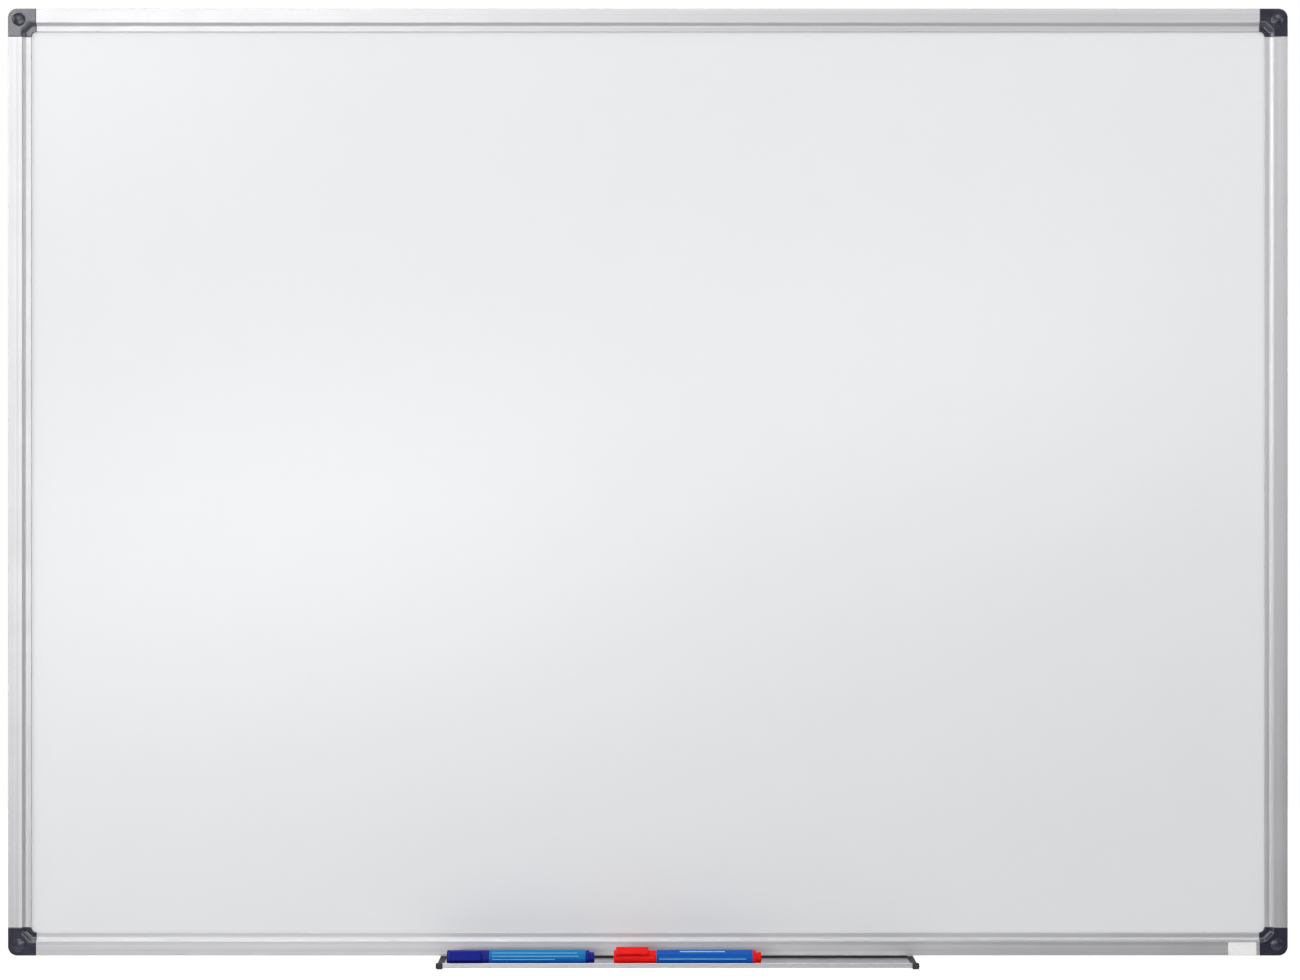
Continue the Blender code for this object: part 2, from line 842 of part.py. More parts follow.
def marker_matrix(start, clip_angle):
    """Local Z along the marker from its cap end, local X towards its clip."""
    lie = axes_matrix((0, 0, -1), (0, 1, 0), (start, -marker_depth, marker_height))
    return lie @ Matrix.Rotation(-math.pi / 2 - clip_angle, 4, "Z")


def clip_mesh():
    """The clip's side outline, from its root on the cap's solid end to the bead at its tip."""
    inner = marker_cap_radius + clip_stand
    outer = inner + clip_wall
    end = clip_start + clip_length
    rounding = clip_wall / 2
    tip = arc((outer - rounding, end - rounding), (rounding, rounding), 0, 90, edge_steps)
    heel = arc((outer - rounding, clip_start + rounding), (rounding, rounding), 270, 360, edge_steps)
    outline = [
        (marker_cap_radius - clip_stand, clip_start),
        *heel,
        *tip,
        (inner - clip_bead, end - rounding),
        (inner - clip_bead, end - clip_bead_length),
        (inner, end - clip_bead_length - clip_bead),
        (inner, clip_start + clip_root + clip_bead),
        (inner - clip_bead, clip_start + clip_root),
        (marker_cap_radius - clip_stand, clip_start + clip_root),
    ]
    return outline_mesh("marker_clip", outline, clip_width)


def marker_profiles():
    """The turned profiles of a marker's pieces, each down its outer side."""
    cap_bore = neck_radius + fit_gap
    sleeve_inner = marker_barrel_radius + sleeve_gap
    sleeve_outer = sleeve_inner + sleeve_wall
    nib_tip = marker_cap_end + nib_gap
    nose = nib_tip + nib_out
    flange_top = neck_start - fit_gap
    flange_radius = neck_radius - fit_gap
    holder_bore = nib_radius + fit_gap
    holder_radius = neck_bore_radius - fit_gap
    reservoir_start = barrel_start + neck_socket + fit_gap
    stem_start = barrel_end - tail_stem_length
    stem_radius = bore_radius - fit_gap
    collar_start = barrel_end + fit_gap
    collar_end = collar_start + tail_collar_length
    collar_radius = marker_barrel_radius - tail_step / 2
    holder_end = flange_top + tip_socket
    cap = [
        (0, marker_cap_end),
        (cap_bore, marker_cap_end),
        (cap_bore, marker_cap_length),
        (marker_cap_radius, marker_cap_length),
        (marker_cap_radius, marker_cap_edge),
        (marker_cap_radius - marker_cap_edge, 0),
        (0, 0),
    ]
    barrel = [
        (marker_barrel_radius, barrel_end),
        (marker_barrel_radius, barrel_start),
        (neck_radius, barrel_start),
        (neck_radius, neck_start),
        (neck_bore_radius, neck_start),
        (neck_bore_radius, barrel_start + neck_wall),
        (bore_radius, barrel_start + neck_socket),
        (bore_radius, barrel_end),
    ]
    sleeve = [
        (sleeve_outer, barrel_end - sleeve_inset),
        (sleeve_outer, barrel_start + sleeve_inset),
        (sleeve_inner, barrel_start + sleeve_inset),
        (sleeve_inner, barrel_end - sleeve_inset),
    ]
    reservoir = [
        (0, stem_start - fit_gap),
        (stem_radius, stem_start - fit_gap),
        (stem_radius, reservoir_start),
        (0, reservoir_start),
    ]
    holder = [
        (holder_radius, holder_end),
        (holder_radius, flange_top),
        (flange_radius, flange_top),
        (flange_radius, flange_top - tip_flange),
        (holder_bore + tip_nose_wall, nose),
        (holder_bore, nose),
        (holder_bore, holder_end),
    ]
    nib = [
        (0, reservoir_start - fit_gap),
        (nib_radius, reservoir_start - fit_gap),
        (nib_radius, nib_tip + nib_point),
        (nib_radius / 2, nib_tip),
        (0, nib_tip),
    ]
    tail = [
        (0, marker_length),
        (tail_end_radius - tail_round, marker_length),
        (tail_end_radius, marker_length - tail_round),
        (tail_end_radius, collar_end + tail_step),
        (collar_radius, collar_end),
        (collar_radius, collar_start),
        (stem_radius, collar_start),
        (stem_radius, stem_start),
        (0, stem_start),
    ]
    return (
        ("cap", cap, False),
        ("barrel", barrel, True),
        ("label_sleeve", sleeve, True),
        ("ink_reservoir", reservoir, False),
        ("tip_holder", holder, True),
        ("nib", nib, False),
        ("tail_plug", tail, False),
    )


def make_marker(colour, start, clip_angle, plastic, felt):
    """A dry-wipe marker lying in the tray, its cap to the left."""
    materials = {
        "barrel": pale_plastic,
        "label_sleeve": label_film,
        "ink_reservoir": ink_fibre,
        "tip_holder": black_plastic,
        "nib": felt,
    }
    place = marker_matrix(start, clip_angle)
    clip_place = place @ axes_matrix((1, 0, 0), (0, 0, 1), (0, clip_width / 2, 0))
    for piece_name, points, closed in marker_profiles():
        name = f"{colour}_marker_{piece_name}"
        mesh = profile_mesh(name, points, closed)
        material = materials.get(piece_name, plastic)
        piece = turn(part(name, mesh, place, material), round_steps)
        if piece_name == "cap":
            clip = cutter(f"{name}_clip", clip_mesh(), clip_place)
            combine(piece, clip, "UNION")


make_panel()
make_rails()
make_corner_caps()
make_wall_screws()
make_rail_screws()
make_screw_covers()
make_label()
make_tray()
make_marker("blue", blue_marker_start, blue_clip_angle, blue_plastic, blue_felt)
make_marker("red", red_marker_start, red_clip_angle, red_plastic, red_felt)
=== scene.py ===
"""Looks of the magnetic whiteboard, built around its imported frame.

Metres, +Z up. The wall plane is Y = 0 and the board faces -Y. Each new piece is a numpy surface: a
grid of points from a formula, or an outline carried along a straight path or turned about an axis.
"""
import math

import bmesh
import bpy
import numpy as np
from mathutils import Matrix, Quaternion, Vector


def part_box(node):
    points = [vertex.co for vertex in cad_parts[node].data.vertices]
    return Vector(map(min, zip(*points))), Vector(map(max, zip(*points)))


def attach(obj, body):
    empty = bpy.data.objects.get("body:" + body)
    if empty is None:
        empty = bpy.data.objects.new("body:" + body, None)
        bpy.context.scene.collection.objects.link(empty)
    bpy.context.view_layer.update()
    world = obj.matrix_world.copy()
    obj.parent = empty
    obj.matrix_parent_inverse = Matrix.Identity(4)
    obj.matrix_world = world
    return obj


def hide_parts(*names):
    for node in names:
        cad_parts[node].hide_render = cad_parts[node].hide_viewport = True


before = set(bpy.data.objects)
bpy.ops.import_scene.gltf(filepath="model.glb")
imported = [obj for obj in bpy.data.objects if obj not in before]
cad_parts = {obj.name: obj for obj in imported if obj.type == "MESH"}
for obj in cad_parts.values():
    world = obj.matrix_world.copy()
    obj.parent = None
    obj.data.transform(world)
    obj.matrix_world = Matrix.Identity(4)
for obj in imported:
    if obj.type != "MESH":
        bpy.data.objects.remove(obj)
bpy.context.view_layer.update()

# The frame's outside, from the rails
board_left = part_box("left_rail")[0].x
board_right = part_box("right_rail")[1].x
board_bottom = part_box("bottom_rail")[0].z
board_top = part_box("top_rail")[1].z
frame_depth = -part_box("top_rail")[0].y

# Clearances
fit_gap = 0.0003
butt_gap = 0.0002
glue_line = 0.0001
cut_overrun = 0.001

# Rail section, from its outer edge inwards
band_width = 0.0131
cove_width = 0.0040
cove_depth = 0.0030
cove_power = 2.2
rail_width = 0.0213
rail_wall = 0.0012
chamber_width = 0.0116
rear_lip_short = 0.0013
rail_edge_radius = 0.0008
groove_depth = 0.0070
groove_mouth = 0.0040
groove_width = 0.0068
groove_room = 0.0018
panel_inset = 0.0145

# Corner caps, their covers and screws
cap_size = 0.0262
cap_corner_radius = 0.0087
cap_step_run = 0.0080
leg_length = 0.0280
screw_inset = 0.0103
cover_radius = 0.00575
cover_pocket_depth = 0.0028
cover_crown = 0.0010
cover_rim = 0.0002
cover_roof = 0.0020
cover_skirt_length = 0.0026
cover_skirt_wall = 0.0010
wall_head_radius = 0.0040
wall_head_height = 0.0026
wall_shank_radius = 0.0020
wall_head_seat = 0.0070
wall_screw_grip = 0.0260
wall_screw_point = 0.0040
wall_screw_pitch = 0.0018
rail_head_radius = 0.0027
rail_head_height = 0.00125
rail_shank_radius = 0.00145
rail_shank_length = 0.0080
rail_screw_point = 0.0015
rail_screw_run = 0.0140
rail_screw_pitch = 0.0011
thread_share = 0.24

# Pen tray
tray_reach = 0.0500
tray_gap = 0.0022
tray_floor = 0.0011
tray_rear_inset = 0.0030
tray_lip_height = 0.0037
tray_lip_wall = 0.0014
tray_heel_radius = 0.0012
tray_lip_round_share = 0.48
port_width = 0.0054
port_height = 0.0046
port_bore_radius = 0.0016
port_depth = 0.0300
end_cap_border = 0.0010
end_cap_round = 0.0013
end_cap_turn = 0.0007
end_cap_foot_round = 0.0008
end_cap_corner = 0.0028
tray_head_radius = 0.00275
tray_head_height = 0.0018
tray_head_sink = 0.0022
tray_shank_length = 0.0095
tray_screw_point = 0.0015
tray_screw_pitch = 0.0010

# Markers
marker_cap_length = 0.0391
marker_tail_length = 0.0082
marker_barrel_radius = 0.0070
marker_wall = 0.0011
marker_cap_radius = 0.0068
marker_cap_end = 0.0070
sleeve_wall = 0.00015
sleeve_gap = 0.00005
sleeve_inset = 0.00002
neck_radius = 0.0054
neck_wall = 0.0010
neck_length = 0.0114
neck_socket = 0.0026
nib_radius = 0.0021
nib_out = 0.0050
nib_point = 0.0020
nib_gap = 0.0015
tip_flange = 0.0022
tip_nose_wall = 0.0005
tip_socket = 0.0100
tail_collar_length = 0.0030
tail_end_radius = 0.0050
tail_step = 0.0004
tail_stem_length = 0.0055
clip_start = 0.0020
clip_length = 0.0300
clip_width = 0.0080
clip_wall = 0.0017
clip_stand = 0.0021
clip_root = 0.0045
clip_bead = 0.0007
clip_bead_length = 0.0025
clip_round_shares = (0.7, 0.45, 0.3)
clip_angles = {"blue": math.radians(18), "red": math.radians(48)}

# Printed lines on the markers: degrees up from straight ahead, half width in turns, start and end
film_lines = {
    "blue": ((44, 0.005, 0.0420, 0.1200), (19, 0.005, 0.0420, 0.1215), (-5, 0.005, 0.0420, 0.1000)),
    "red": ((58, 0.014, 0.0610, 0.1025), (-2, 0.006, 0.0420, 0.1220)),
}
film_cyan_degrees = {"blue": 60, "red": 200}
film_cyan_turns = (0.02, 0.24)
film_line_fade = 1.25

# Edges and facets
soft_edge = 0.0003
fine_edge = 0.00015
rim_edge = 0.0001
edge_reach = 0.0006
flat_share = 0.35
weld_distance = 0.0000002
fine_steps = 96
screw_steps = 40
rows_per_pitch = 9
cove_steps = 14
dome_steps = 16
corner_steps = 16
crown_steps = 12
glide_ribs = 7
round_steps = 5
tray_round_steps = 6
lip_corner_steps = 8
rim_steps = 3
edge_steps = 4
cove_levels = 12
worn_levels = (1, 2, 3)
cap_edge = 0.0004
cap_spacing = 0.0006
end_cap_edge = 0.0005
clip_edge = 0.00035
label_edge = 0.00006
label_corner_radius = 0.0008
recess_bar_share = 0.14
recess_tip_share = 0.70
recess_reach_share = 0.62
recess_depth_share = 0.55
recess_floor_share = 0.75
least_rise = 0.001

# Relief of the finishes
lacquer_relief = 0.000003
film_relief = 0.000004
marker_relief = 0.000008
paper_relief = 0.000008
drawn_relief = 0.000010
fine_relief = 0.000010
satin_relief = 0.000015
crystal_relief = 0.000020
grain_relief = 0.000030
felt_relief = 0.000060
kraft_relief = 0.000080
crystal_bend = 0.012
grain_shadow_share = 0.86
rough_swing = 0.04
die_line_share = 0.45
crystal_tone_share = 0.75

# Patterns of the finishes, in repeats per metre
peel_per_metre = 700.0
film_grain_per_metre = 1500.0
zinc_grain_per_metre = 3000.0
zinc_clouds_per_metre = 260.0
crystals_per_metre = 105.0
crystal_flecks_per_metre = 420.0
crystal_sways_per_metre = ((0, 70.0), (2, 55.0))
mould_cells_per_metre = 2500.0
plastic_tones_per_metre = 90.0
wear_per_metre = 420.0

# Places worked out from the sizes above
lip_front = frame_depth - cove_depth
lip_back = lip_front - rail_wall
slot_floor = rail_wall + chamber_width + rail_wall
chamber_start = rail_wall + groove_room + rail_wall
chamber_middle = (chamber_start + rail_wall + chamber_width) / 2
cover_pocket_floor = frame_depth - cover_pocket_depth
head_recess_radius = wall_head_radius + 2 * fit_gap
tray_top = board_bottom - tray_gap
tray_bottom = tray_top - tray_floor
tray_front_depth = frame_depth + tray_reach
port_height_middle = tray_bottom - port_height / 2


# Shapes

def unit(vectors):
    """Vectors of length 1; a vector of no length stays so."""
    length = np.linalg.norm(vectors, axis=-1, keepdims=True)
    return vectors / np.maximum(length, weld_distance / 1000)


def dot(a, b):
    """Dot products of two arrays of plane vectors."""
    return a[..., 0] * b[..., 0] + a[..., 1] * b[..., 1]


def cross(a, b):
    """Cross products of two arrays of plane vectors."""
    return a[..., 0] * b[..., 1] - a[..., 1] * b[..., 0]


def axes(x_axis, y_axis, origin):
    """A placing matrix from two axes at right angles and an origin."""
    place = np.eye(4)
    place[:3, 0] = x_axis
    place[:3, 1] = y_axis
    place[:3, 2] = np.cross(x_axis, y_axis)
    place[:3, 3] = origin
    return place


def shifted(x, y, z):
    """A placing matrix that only moves."""
    return axes((1, 0, 0), (0, 1, 0), (x, y, z))


def carried(points, place):
    """Points of any array shape, carried by a placing matrix."""
    return points @ place[:3, :3].T + place[:3, 3]


def ellipse(centre, radii, start, end, steps):
    """Points along an elliptical arc, from the cosine and sine of evenly spaced angles in degrees."""
    angle = np.radians(np.linspace(start, end, steps + 1))
    return np.stack([centre[0] + radii[0] * np.cos(angle), centre[1] + radii[1] * np.sin(angle)], 1)


def thinned(outline):
    """The outline without points that repeat the one before."""
    step = np.linalg.norm(outline - np.roll(outline, 1, axis=0), axis=1)
    return outline[step > weld_distance]


def rounded(corners, steps=round_steps):
    """A closed outline from corners (x, y, radius), each an arc with a point on the flat at either end.

    An arc's centre lies on the corner's bisector, radius / sin(half angle) away, and the arc meets
    the sides radius / tan(half angle) from the corner. It is swept from the first side to the next.
    The point on the flat lies a share of the radius further on, or less where the side is short.
    """
    corners = np.asarray(corners, float)
    spot = corners[:, :2]
    radius = corners[:, 2:]
    to_before = np.roll(spot, 1, axis=0) - spot
    to_after = np.roll(spot, -1, axis=0) - spot
    before = unit(to_before)
    after = unit(to_after)
    half = np.arccos(np.clip(dot(before, after), -1, 1))[:, None] / 2
    reach = radius / np.tan(half)
    room_before = np.linalg.norm(to_before, axis=1, keepdims=True) - reach - np.roll(reach, 1, axis=0)
    room_after = np.linalg.norm(to_after, axis=1, keepdims=True) - reach - np.roll(reach, -1, axis=0)
    flat_before = reach + np.clip(room_before / 3, 0, radius * flat_share)
    flat_after = reach + np.clip(room_after / 3, 0, radius * flat_share)
    middle = spot + unit(before + after) * radius / np.sin(half)
    start = (spot + before * reach - middle)[:, None]
    end = (spot + after * reach - middle)[:, None]
    angle = np.arctan2(cross(start, end), dot(start, end)) * np.linspace(0, 1, steps + 1)
    sweep_x = start[..., 0] * np.cos(angle) - start[..., 1] * np.sin(angle)
    sweep_y = start[..., 0] * np.sin(angle) + start[..., 1] * np.cos(angle)
    arcs = middle[:, None] + np.stack([sweep_x, sweep_y], axis=-1)
    points = [(spot + before * flat_before)[:, None], arcs, (spot + after * flat_after)[:, None]]
    return thinned(np.concatenate(points, axis=1).reshape(-1, 2))


def with_radius(points, radius=0.0):
    """Corners of one radius from plain points."""
    return np.column_stack([points, np.full(len(points), radius)])


def divided(outline, spacing):
    """A closed outline with points added along its sides, read at even steps of its length."""
    closed = np.vstack([outline, outline[:1]])
    along = np.concatenate([[0], np.cumsum(np.linalg.norm(np.diff(closed, axis=0), axis=1))])
    wanted = np.union1d(along, np.arange(0, along[-1], spacing))
    points = [np.interp(wanted, along, closed[:, side]) for side in (0, 1)]
    return thinned(np.stack(points, axis=1)[:-1])


def sharpness(outline):
    """How hard a closed anticlockwise outline turns outwards at each point, from 0 to 1.

    It is the turn at the point, over the length of outline round it, times a reach.
    """
    before = outline - np.roll(outline, 1, axis=0)
    after = np.roll(outline, -1, axis=0) - outline
    length = (np.linalg.norm(before, axis=1) + np.linalg.norm(after, axis=1)) / 2
    turn = np.arctan2(cross(before, after), dot(before, after))
    area = cross(outline, np.roll(outline, -1, axis=0)).sum()
    return np.clip(np.sign(area) * turn / length * edge_reach, 0, 1)


def inward(outline):
    """From each point of an anticlockwise outline, the step that moves both its sides in by 1.

    It is the sum of the sides' inward normals over one plus their dot product.
    """
    before = unit(outline - np.roll(outline, 1, axis=0))
    after = unit(np.roll(outline, -1, axis=0) - outline)
    normal_before = np.stack([-before[:, 1], before[:, 0]], axis=1)
    normal_after = np.stack([-after[:, 1], after[:, 0]], axis=1)
    share = 1 + dot(normal_before, normal_after)
    return (normal_before + normal_after) / share[:, None]


def shade(mesh, sharp_degrees=35):
    """Smooth rounds and sharp corners."""
    mesh.shade_smooth()
    mesh.set_sharp_from_angle(angle=math.radians(sharp_degrees))


def placed(name, data):
    """An object for a mesh, a lamp or a camera, in the scene."""
    made = bpy.data.objects.new(name, data)
    bpy.context.scene.collection.objects.link(made)
    return made


def surface(name, grid, edge=None, loop=False, fill=False, row_values=None):
    """A closed mesh from a grid of points (rows, columns, 3), whose last column meets its first.

    Each quad joins neighbours in the grid. Rows close as a loop, or the first and last row are
    filled, or they are poles that merge. U is the share of the way round, V the row's own value.
    """
    rows, columns = grid.shape[:2]
    row = np.arange(rows if loop else rows - 1)[:, None, None] + np.array([0, 0, 1, 1])
    column = np.arange(columns)[None, :, None] + np.array([0, 1, 1, 0])
    row, column = np.broadcast_arrays(row, column)
    faces = (row % rows * columns + column % columns).reshape(-1, 4).tolist()
    row_values = np.arange(rows) if row_values is None else np.asarray(row_values)
    uv = np.stack([column / columns, row_values[row % rows]], axis=-1).reshape(-1, 2)
    if fill:
        faces.append(list(range(columns)))
        faces.append(list(range((rows - 1) * columns, rows * columns)))
        uv = np.vstack([uv, np.zeros((2 * columns, 2))])
    mesh = bpy.data.meshes.new(name)
    mesh.from_pydata(grid.reshape(-1, 3).tolist(), [], faces)
    mesh.uv_layers.new(name="UVMap").data.foreach_set("uv", uv.astype(np.float32).ravel())
    weight = np.zeros((rows, columns)) if edge is None else np.broadcast_to(edge, (rows, columns))
    wear = mesh.attributes.new("edge", "FLOAT", "POINT")
    wear.data.foreach_set("value", np.ascontiguousarray(weight, np.float32).ravel())
    solid = bmesh.new()
    solid.from_mesh(mesh)
    bmesh.ops.remove_doubles(solid, verts=solid.verts, dist=weld_distance)
    bmesh.ops.recalc_face_normals(solid, faces=solid.faces)
    solid.to_mesh(mesh)
    solid.free()
    shade(mesh)
    return placed(name, mesh)


def plate(name, outline, low, high, edge, place):
    """An outline raised from low to high, with both its rims rounded.

    Each ring is the outline moved in along its inward steps: by the edge's radius on the two
    faces, by nothing on the wall, and by radius * (1 - sin) at radius * (1 - cos) between them.
    The outline's own outward arcs are wider than the rim, so that no ring folds.
    """
    angle = np.linspace(0, math.pi / 2, rim_steps + 1)
    inset = np.concatenate([[edge * (1 + flat_share)], edge * (1 - np.sin(angle)), [0]])
    rise = np.concatenate([[0], edge * (1 - np.cos(angle)), [edge * (1 + flat_share)]])
    inset = np.concatenate([inset, inset[::-1]])[:, None, None]
    height = np.concatenate([low + rise, high - rise[::-1]])
    flat = outline[None] + inward(outline)[None] * inset
    grid = np.dstack([flat, np.broadcast_to(height[:, None], flat.shape[:2])])
    rim = np.concatenate([[0], np.sin(2 * angle), [0]])
    weight = np.maximum(np.concatenate([rim, rim[::-1]])[:, None], sharpness(outline)[None])
    return surface(name, carried(grid, place), weight, fill=True)


def turned(name, profile, place, steps=fine_steps):
    """A profile of (radius, height) turned about local Z: x and y are radius times cos and sin.

    A profile that starts and ends on the axis has a pole there; any other closes on itself.
    """
    profile = np.asarray(profile, float)
    angle = np.arange(steps) * 2 * math.pi / steps
    radius = profile[:, :1]
    height = np.broadcast_to(profile[:, 1:], (len(profile), steps))
    grid = np.stack([radius * np.cos(angle), radius * np.sin(angle), height], axis=-1)
    loop = max(profile[0, 0], profile[-1, 0]) > weld_distance
    weight = sharpness(profile)[:, None]
    return surface(name, carried(grid, place), weight, loop, row_values=profile[:, 1])


def box(name, low, high, place):
    """A block with soft edges between two corners."""
    corners = [(low[0], low[1]), (high[0], low[1]), (high[0], high[1]), (low[0], high[1])]
    return plate(name, rounded(with_radius(corners, soft_edge)), low[2], high[2], fine_edge, place)


def combine(piece, tool, operation="DIFFERENCE"):
    """Cut the piece with the tool, or join the tool to it, and drop the tool."""
    boolean = piece.modifiers.new(tool.name, "BOOLEAN")
    boolean.operation = operation
    boolean.solver = "EXACT"
    boolean.object = tool
    bpy.context.view_layer.update()
    graph = bpy.context.evaluated_depsgraph_get()
    mesh = bpy.data.meshes.new_from_object(
        piece.evaluated_get(graph), preserve_all_data_layers=True, depsgraph=graph
    )
    piece.modifiers.clear()
    piece.data = mesh
    mesh.name = piece.name
    shade(mesh)
    bpy.data.objects.remove(tool)


def drill(piece, walls, place):
    """Cut a round hole whose walls are given from the top down, as radius and height along local Z."""
    profile = [(0, walls[0][1]), *walls, (0, walls[-1][1])]
    combine(piece, turned("hole", profile, place, screw_steps))


# Materials

def srgb(red, green, blue):
    """A linear colour from its screen values of 0 to 255."""
    value = np.array([red, green, blue]) / 255
    linear = np.where(value > 0.04045, ((value + 0.055) / 1.055) ** 2.4, value / 12.92)
    return (*linear.tolist(), 1.0)


def put(tree, kind, inputs=None, **settings):
    """A node of that kind with its settings and inputs, which are values or other nodes' sockets."""
    made = tree.nodes.new(kind)
    for key, value in settings.items():
        setattr(made, key, value)
    for key, value in (inputs or {}).items():
        if isinstance(value, bpy.types.NodeSocket):
            tree.links.new(value, made.inputs[key])
        else:
            made.inputs[key].default_value = value
    return made


def sums(tree, operation, first, second):
    """One sum of two values."""
    return put(tree, "ShaderNodeMath", {0: first, 1: second}, operation=operation).outputs[0]


def spread(tree, value, low, high, to_low=0.0, to_high=1.0):
    """A value's range carried on to another, clamped."""
    inputs = {"Value": value, 1: low, 2: high, 3: to_low, 4: to_high}
    return put(tree, "ShaderNodeMapRange", inputs).outputs[0]


def noise(tree, vector, scale, detail=2.0, rough=0.5, bend=0.0):
    """A noise value over a vector."""
    inputs = {"Vector": vector, "Scale": scale, "Detail": detail, "Roughness": rough, "Distortion": bend}
    return put(tree, "ShaderNodeTexNoise", inputs).outputs[0]


def stretched(tree, vector, stretch):
    """A vector multiplied side by side with another."""
    inputs = {0: vector, 1: stretch}
    return put(tree, "ShaderNodeVectorMath", inputs, operation="MULTIPLY").outputs[0]


def mixed(tree, factor, first, second):
    """A colour between two, by a factor."""
    inputs = {"Fac": factor, "Color1": first, "Color2": second}
    return put(tree, "ShaderNodeMixRGB", inputs).outputs[0]


def effect(name, inputs, outputs):
    """An empty node group with named sockets; gives it with its inputs and outputs."""
    group = bpy.data.node_groups.new(name, "ShaderNodeTree")
    for socket, kind, value in inputs:
        made = group.interface.new_socket(socket, in_out="INPUT", socket_type=f"NodeSocket{kind}")
        if kind == "Float":
            made.default_value = value
    for socket in outputs:
        group.interface.new_socket(socket, in_out="OUTPUT", socket_type="NodeSocketFloat")
    given = group.nodes.new("NodeGroupInput").outputs
    return group, given, group.nodes.new("NodeGroupOutput").inputs


def make_drawn_lines():
    """Fine lines that a die leaves along an extrusion: noise read through a stretched vector.

    The stretch is low along the extrusion and high across it, so each fleck becomes a long line.
    """
    inputs = [("Vector", "Vector", None), ("Stretch", "Vector", None)]
    group, given, result = effect("drawn_lines", inputs, ["Height", "Tone"])
    spot = stretched(group, given["Vector"], given["Stretch"])
    fine = noise(group, spot, 1.0, detail=3.0, rough=0.6)
    broad = noise(group, spot, 0.16, detail=1.0)
    group.links.new(fine, result["Height"])
    group.links.new(sums(group, "ADD", sums(group, "MULTIPLY", fine, die_line_share), broad), result["Tone"])
    return group


def make_moulded_grain():
    """Spark-eroded mould grain: small cells with finer noise, and slow shifts in tone."""
    inputs = [("Vector", "Vector", None), ("Cells per metre", "Float", mould_cells_per_metre)]
    group, given, result = effect("moulded_grain", inputs, ["Height", "Tone"])
    scale = {"Vector": given["Vector"], "Scale": given["Cells per metre"]}
    cells = put(group, "ShaderNodeTexVoronoi", scale).outputs["Distance"]
    flecks = noise(group, given["Vector"], given["Cells per metre"], detail=2.0)
    slow = noise(group, given["Vector"], plastic_tones_per_metre, detail=3.0)
    group.links.new(sums(group, "ADD", cells, flecks), result["Height"])
    group.links.new(spread(group, slow, 0.3, 0.7), result["Tone"])
    return group


def make_worn_edge():
    """Rubbed edges: the piece's own edge weight, broken up by noise."""
    inputs = [("Edge", "Float", 0.0), ("Vector", "Vector", None), ("Amount", "Float", 0.5)]
    group, given, result = effect("worn_edge", inputs, ["Mask"])
    flecks = noise(group, given["Vector"], wear_per_metre, detail=4.0, rough=0.7)
    breaks = spread(group, flecks, 0.35, 0.7)
    mask = sums(group, "MULTIPLY", given["Edge"], breaks)
    group.links.new(sums(group, "MULTIPLY", mask, given["Amount"]), result["Mask"])
    return group


def make_handling():
    """Faint smears from hands and cloths, as a value round a half."""
    inputs = [("Vector", "Vector", None), ("Smears per metre", "Float", 8.0)]
    group, given, result = effect("handling", inputs, ["Smears"])
    smears = noise(group, given["Vector"], given["Smears per metre"], detail=5.0, rough=0.62, bend=1.4)
    group.links.new(smears, result["Smears"])
    return group


def make_fibres():
    """Pressed fibres along a piece: two stretched noises, one fine and one coarse."""
    inputs = [("Vector", "Vector", None), ("Stretch", "Vector", None)]
    group, given, result = effect("fibres", inputs, ["Fibres"])
    spot = stretched(group, given["Vector"], given["Stretch"])
    fine = noise(group, spot, 1.0, detail=4.0, rough=0.7)
    coarse = noise(group, spot, 0.25, detail=2.0)
    group.links.new(spread(group, sums(group, "ADD", fine, coarse), 0.75, 1.25), result["Fibres"])
    return group


drawn_lines = make_drawn_lines()
moulded_grain = make_moulded_grain()
worn_edge = make_worn_edge()
handling = make_handling()
fibres = make_fibres()


def use(tree, group, **inputs):
    """A node group in a material, with its own values; gives its outputs."""
    named = {key.replace("_", " "): value for key, value in inputs.items()}
    return put(tree, "ShaderNodeGroup", named, node_tree=group).outputs


def new_finish(name, **constants):
    """A material with constant values on its shader, its tree and its object coordinates."""
    material = bpy.data.materials.new(name)
    material.use_nodes = True
    tree = material.node_tree
    for key, value in constants.items():
        tree.nodes["Principled BSDF"].inputs[key.replace("_", " ")].default_value = value
    return material, tree, put(tree, "ShaderNodeTexCoord").outputs["Object"]


def finished(material, colour, rough, height, depth):
    """The material with its colour, its relief, and its roughness where that varies."""
    tree = material.node_tree
    sockets = tree.nodes["Principled BSDF"].inputs
    tree.links.new(colour, sockets["Base Color"])
    if rough is not None:
        tree.links.new(rough, sockets["Roughness"])
    bump = put(tree, "ShaderNodeBump", {"Height": height, "Distance": depth, "Strength": 1.0})
    tree.links.new(bump.outputs[0], sockets["Normal"])
    return material


def edge_mask(tree, spot, amount):
    """The rubbed-edge mask of a piece that carries an edge weight."""
    edge = put(tree, "ShaderNodeAttribute", attribute_name="edge").outputs["Fac"]
    return use(tree, worn_edge, Edge=edge, Vector=spot, Amount=amount)["Mask"]


def lacquered_steel():
    """White baked lacquer: a faint orange-peel relief and the haze that dry wiping leaves."""
    material, tree, spot = new_finish("white_lacquer_finish")
    smears = use(tree, handling, Vector=spot, Smears_per_metre=5.0)["Smears"]
    tint = mixed(tree, spread(tree, smears, 0.2, 0.8), srgb(228, 229, 231), srgb(229, 230, 232))
    rough = spread(tree, smears, 0.2, 0.8, 0.295, 0.305)
    relief = noise(tree, spot, peel_per_metre, detail=1.0)
    return finished(material, tint, rough, relief, lacquer_relief)


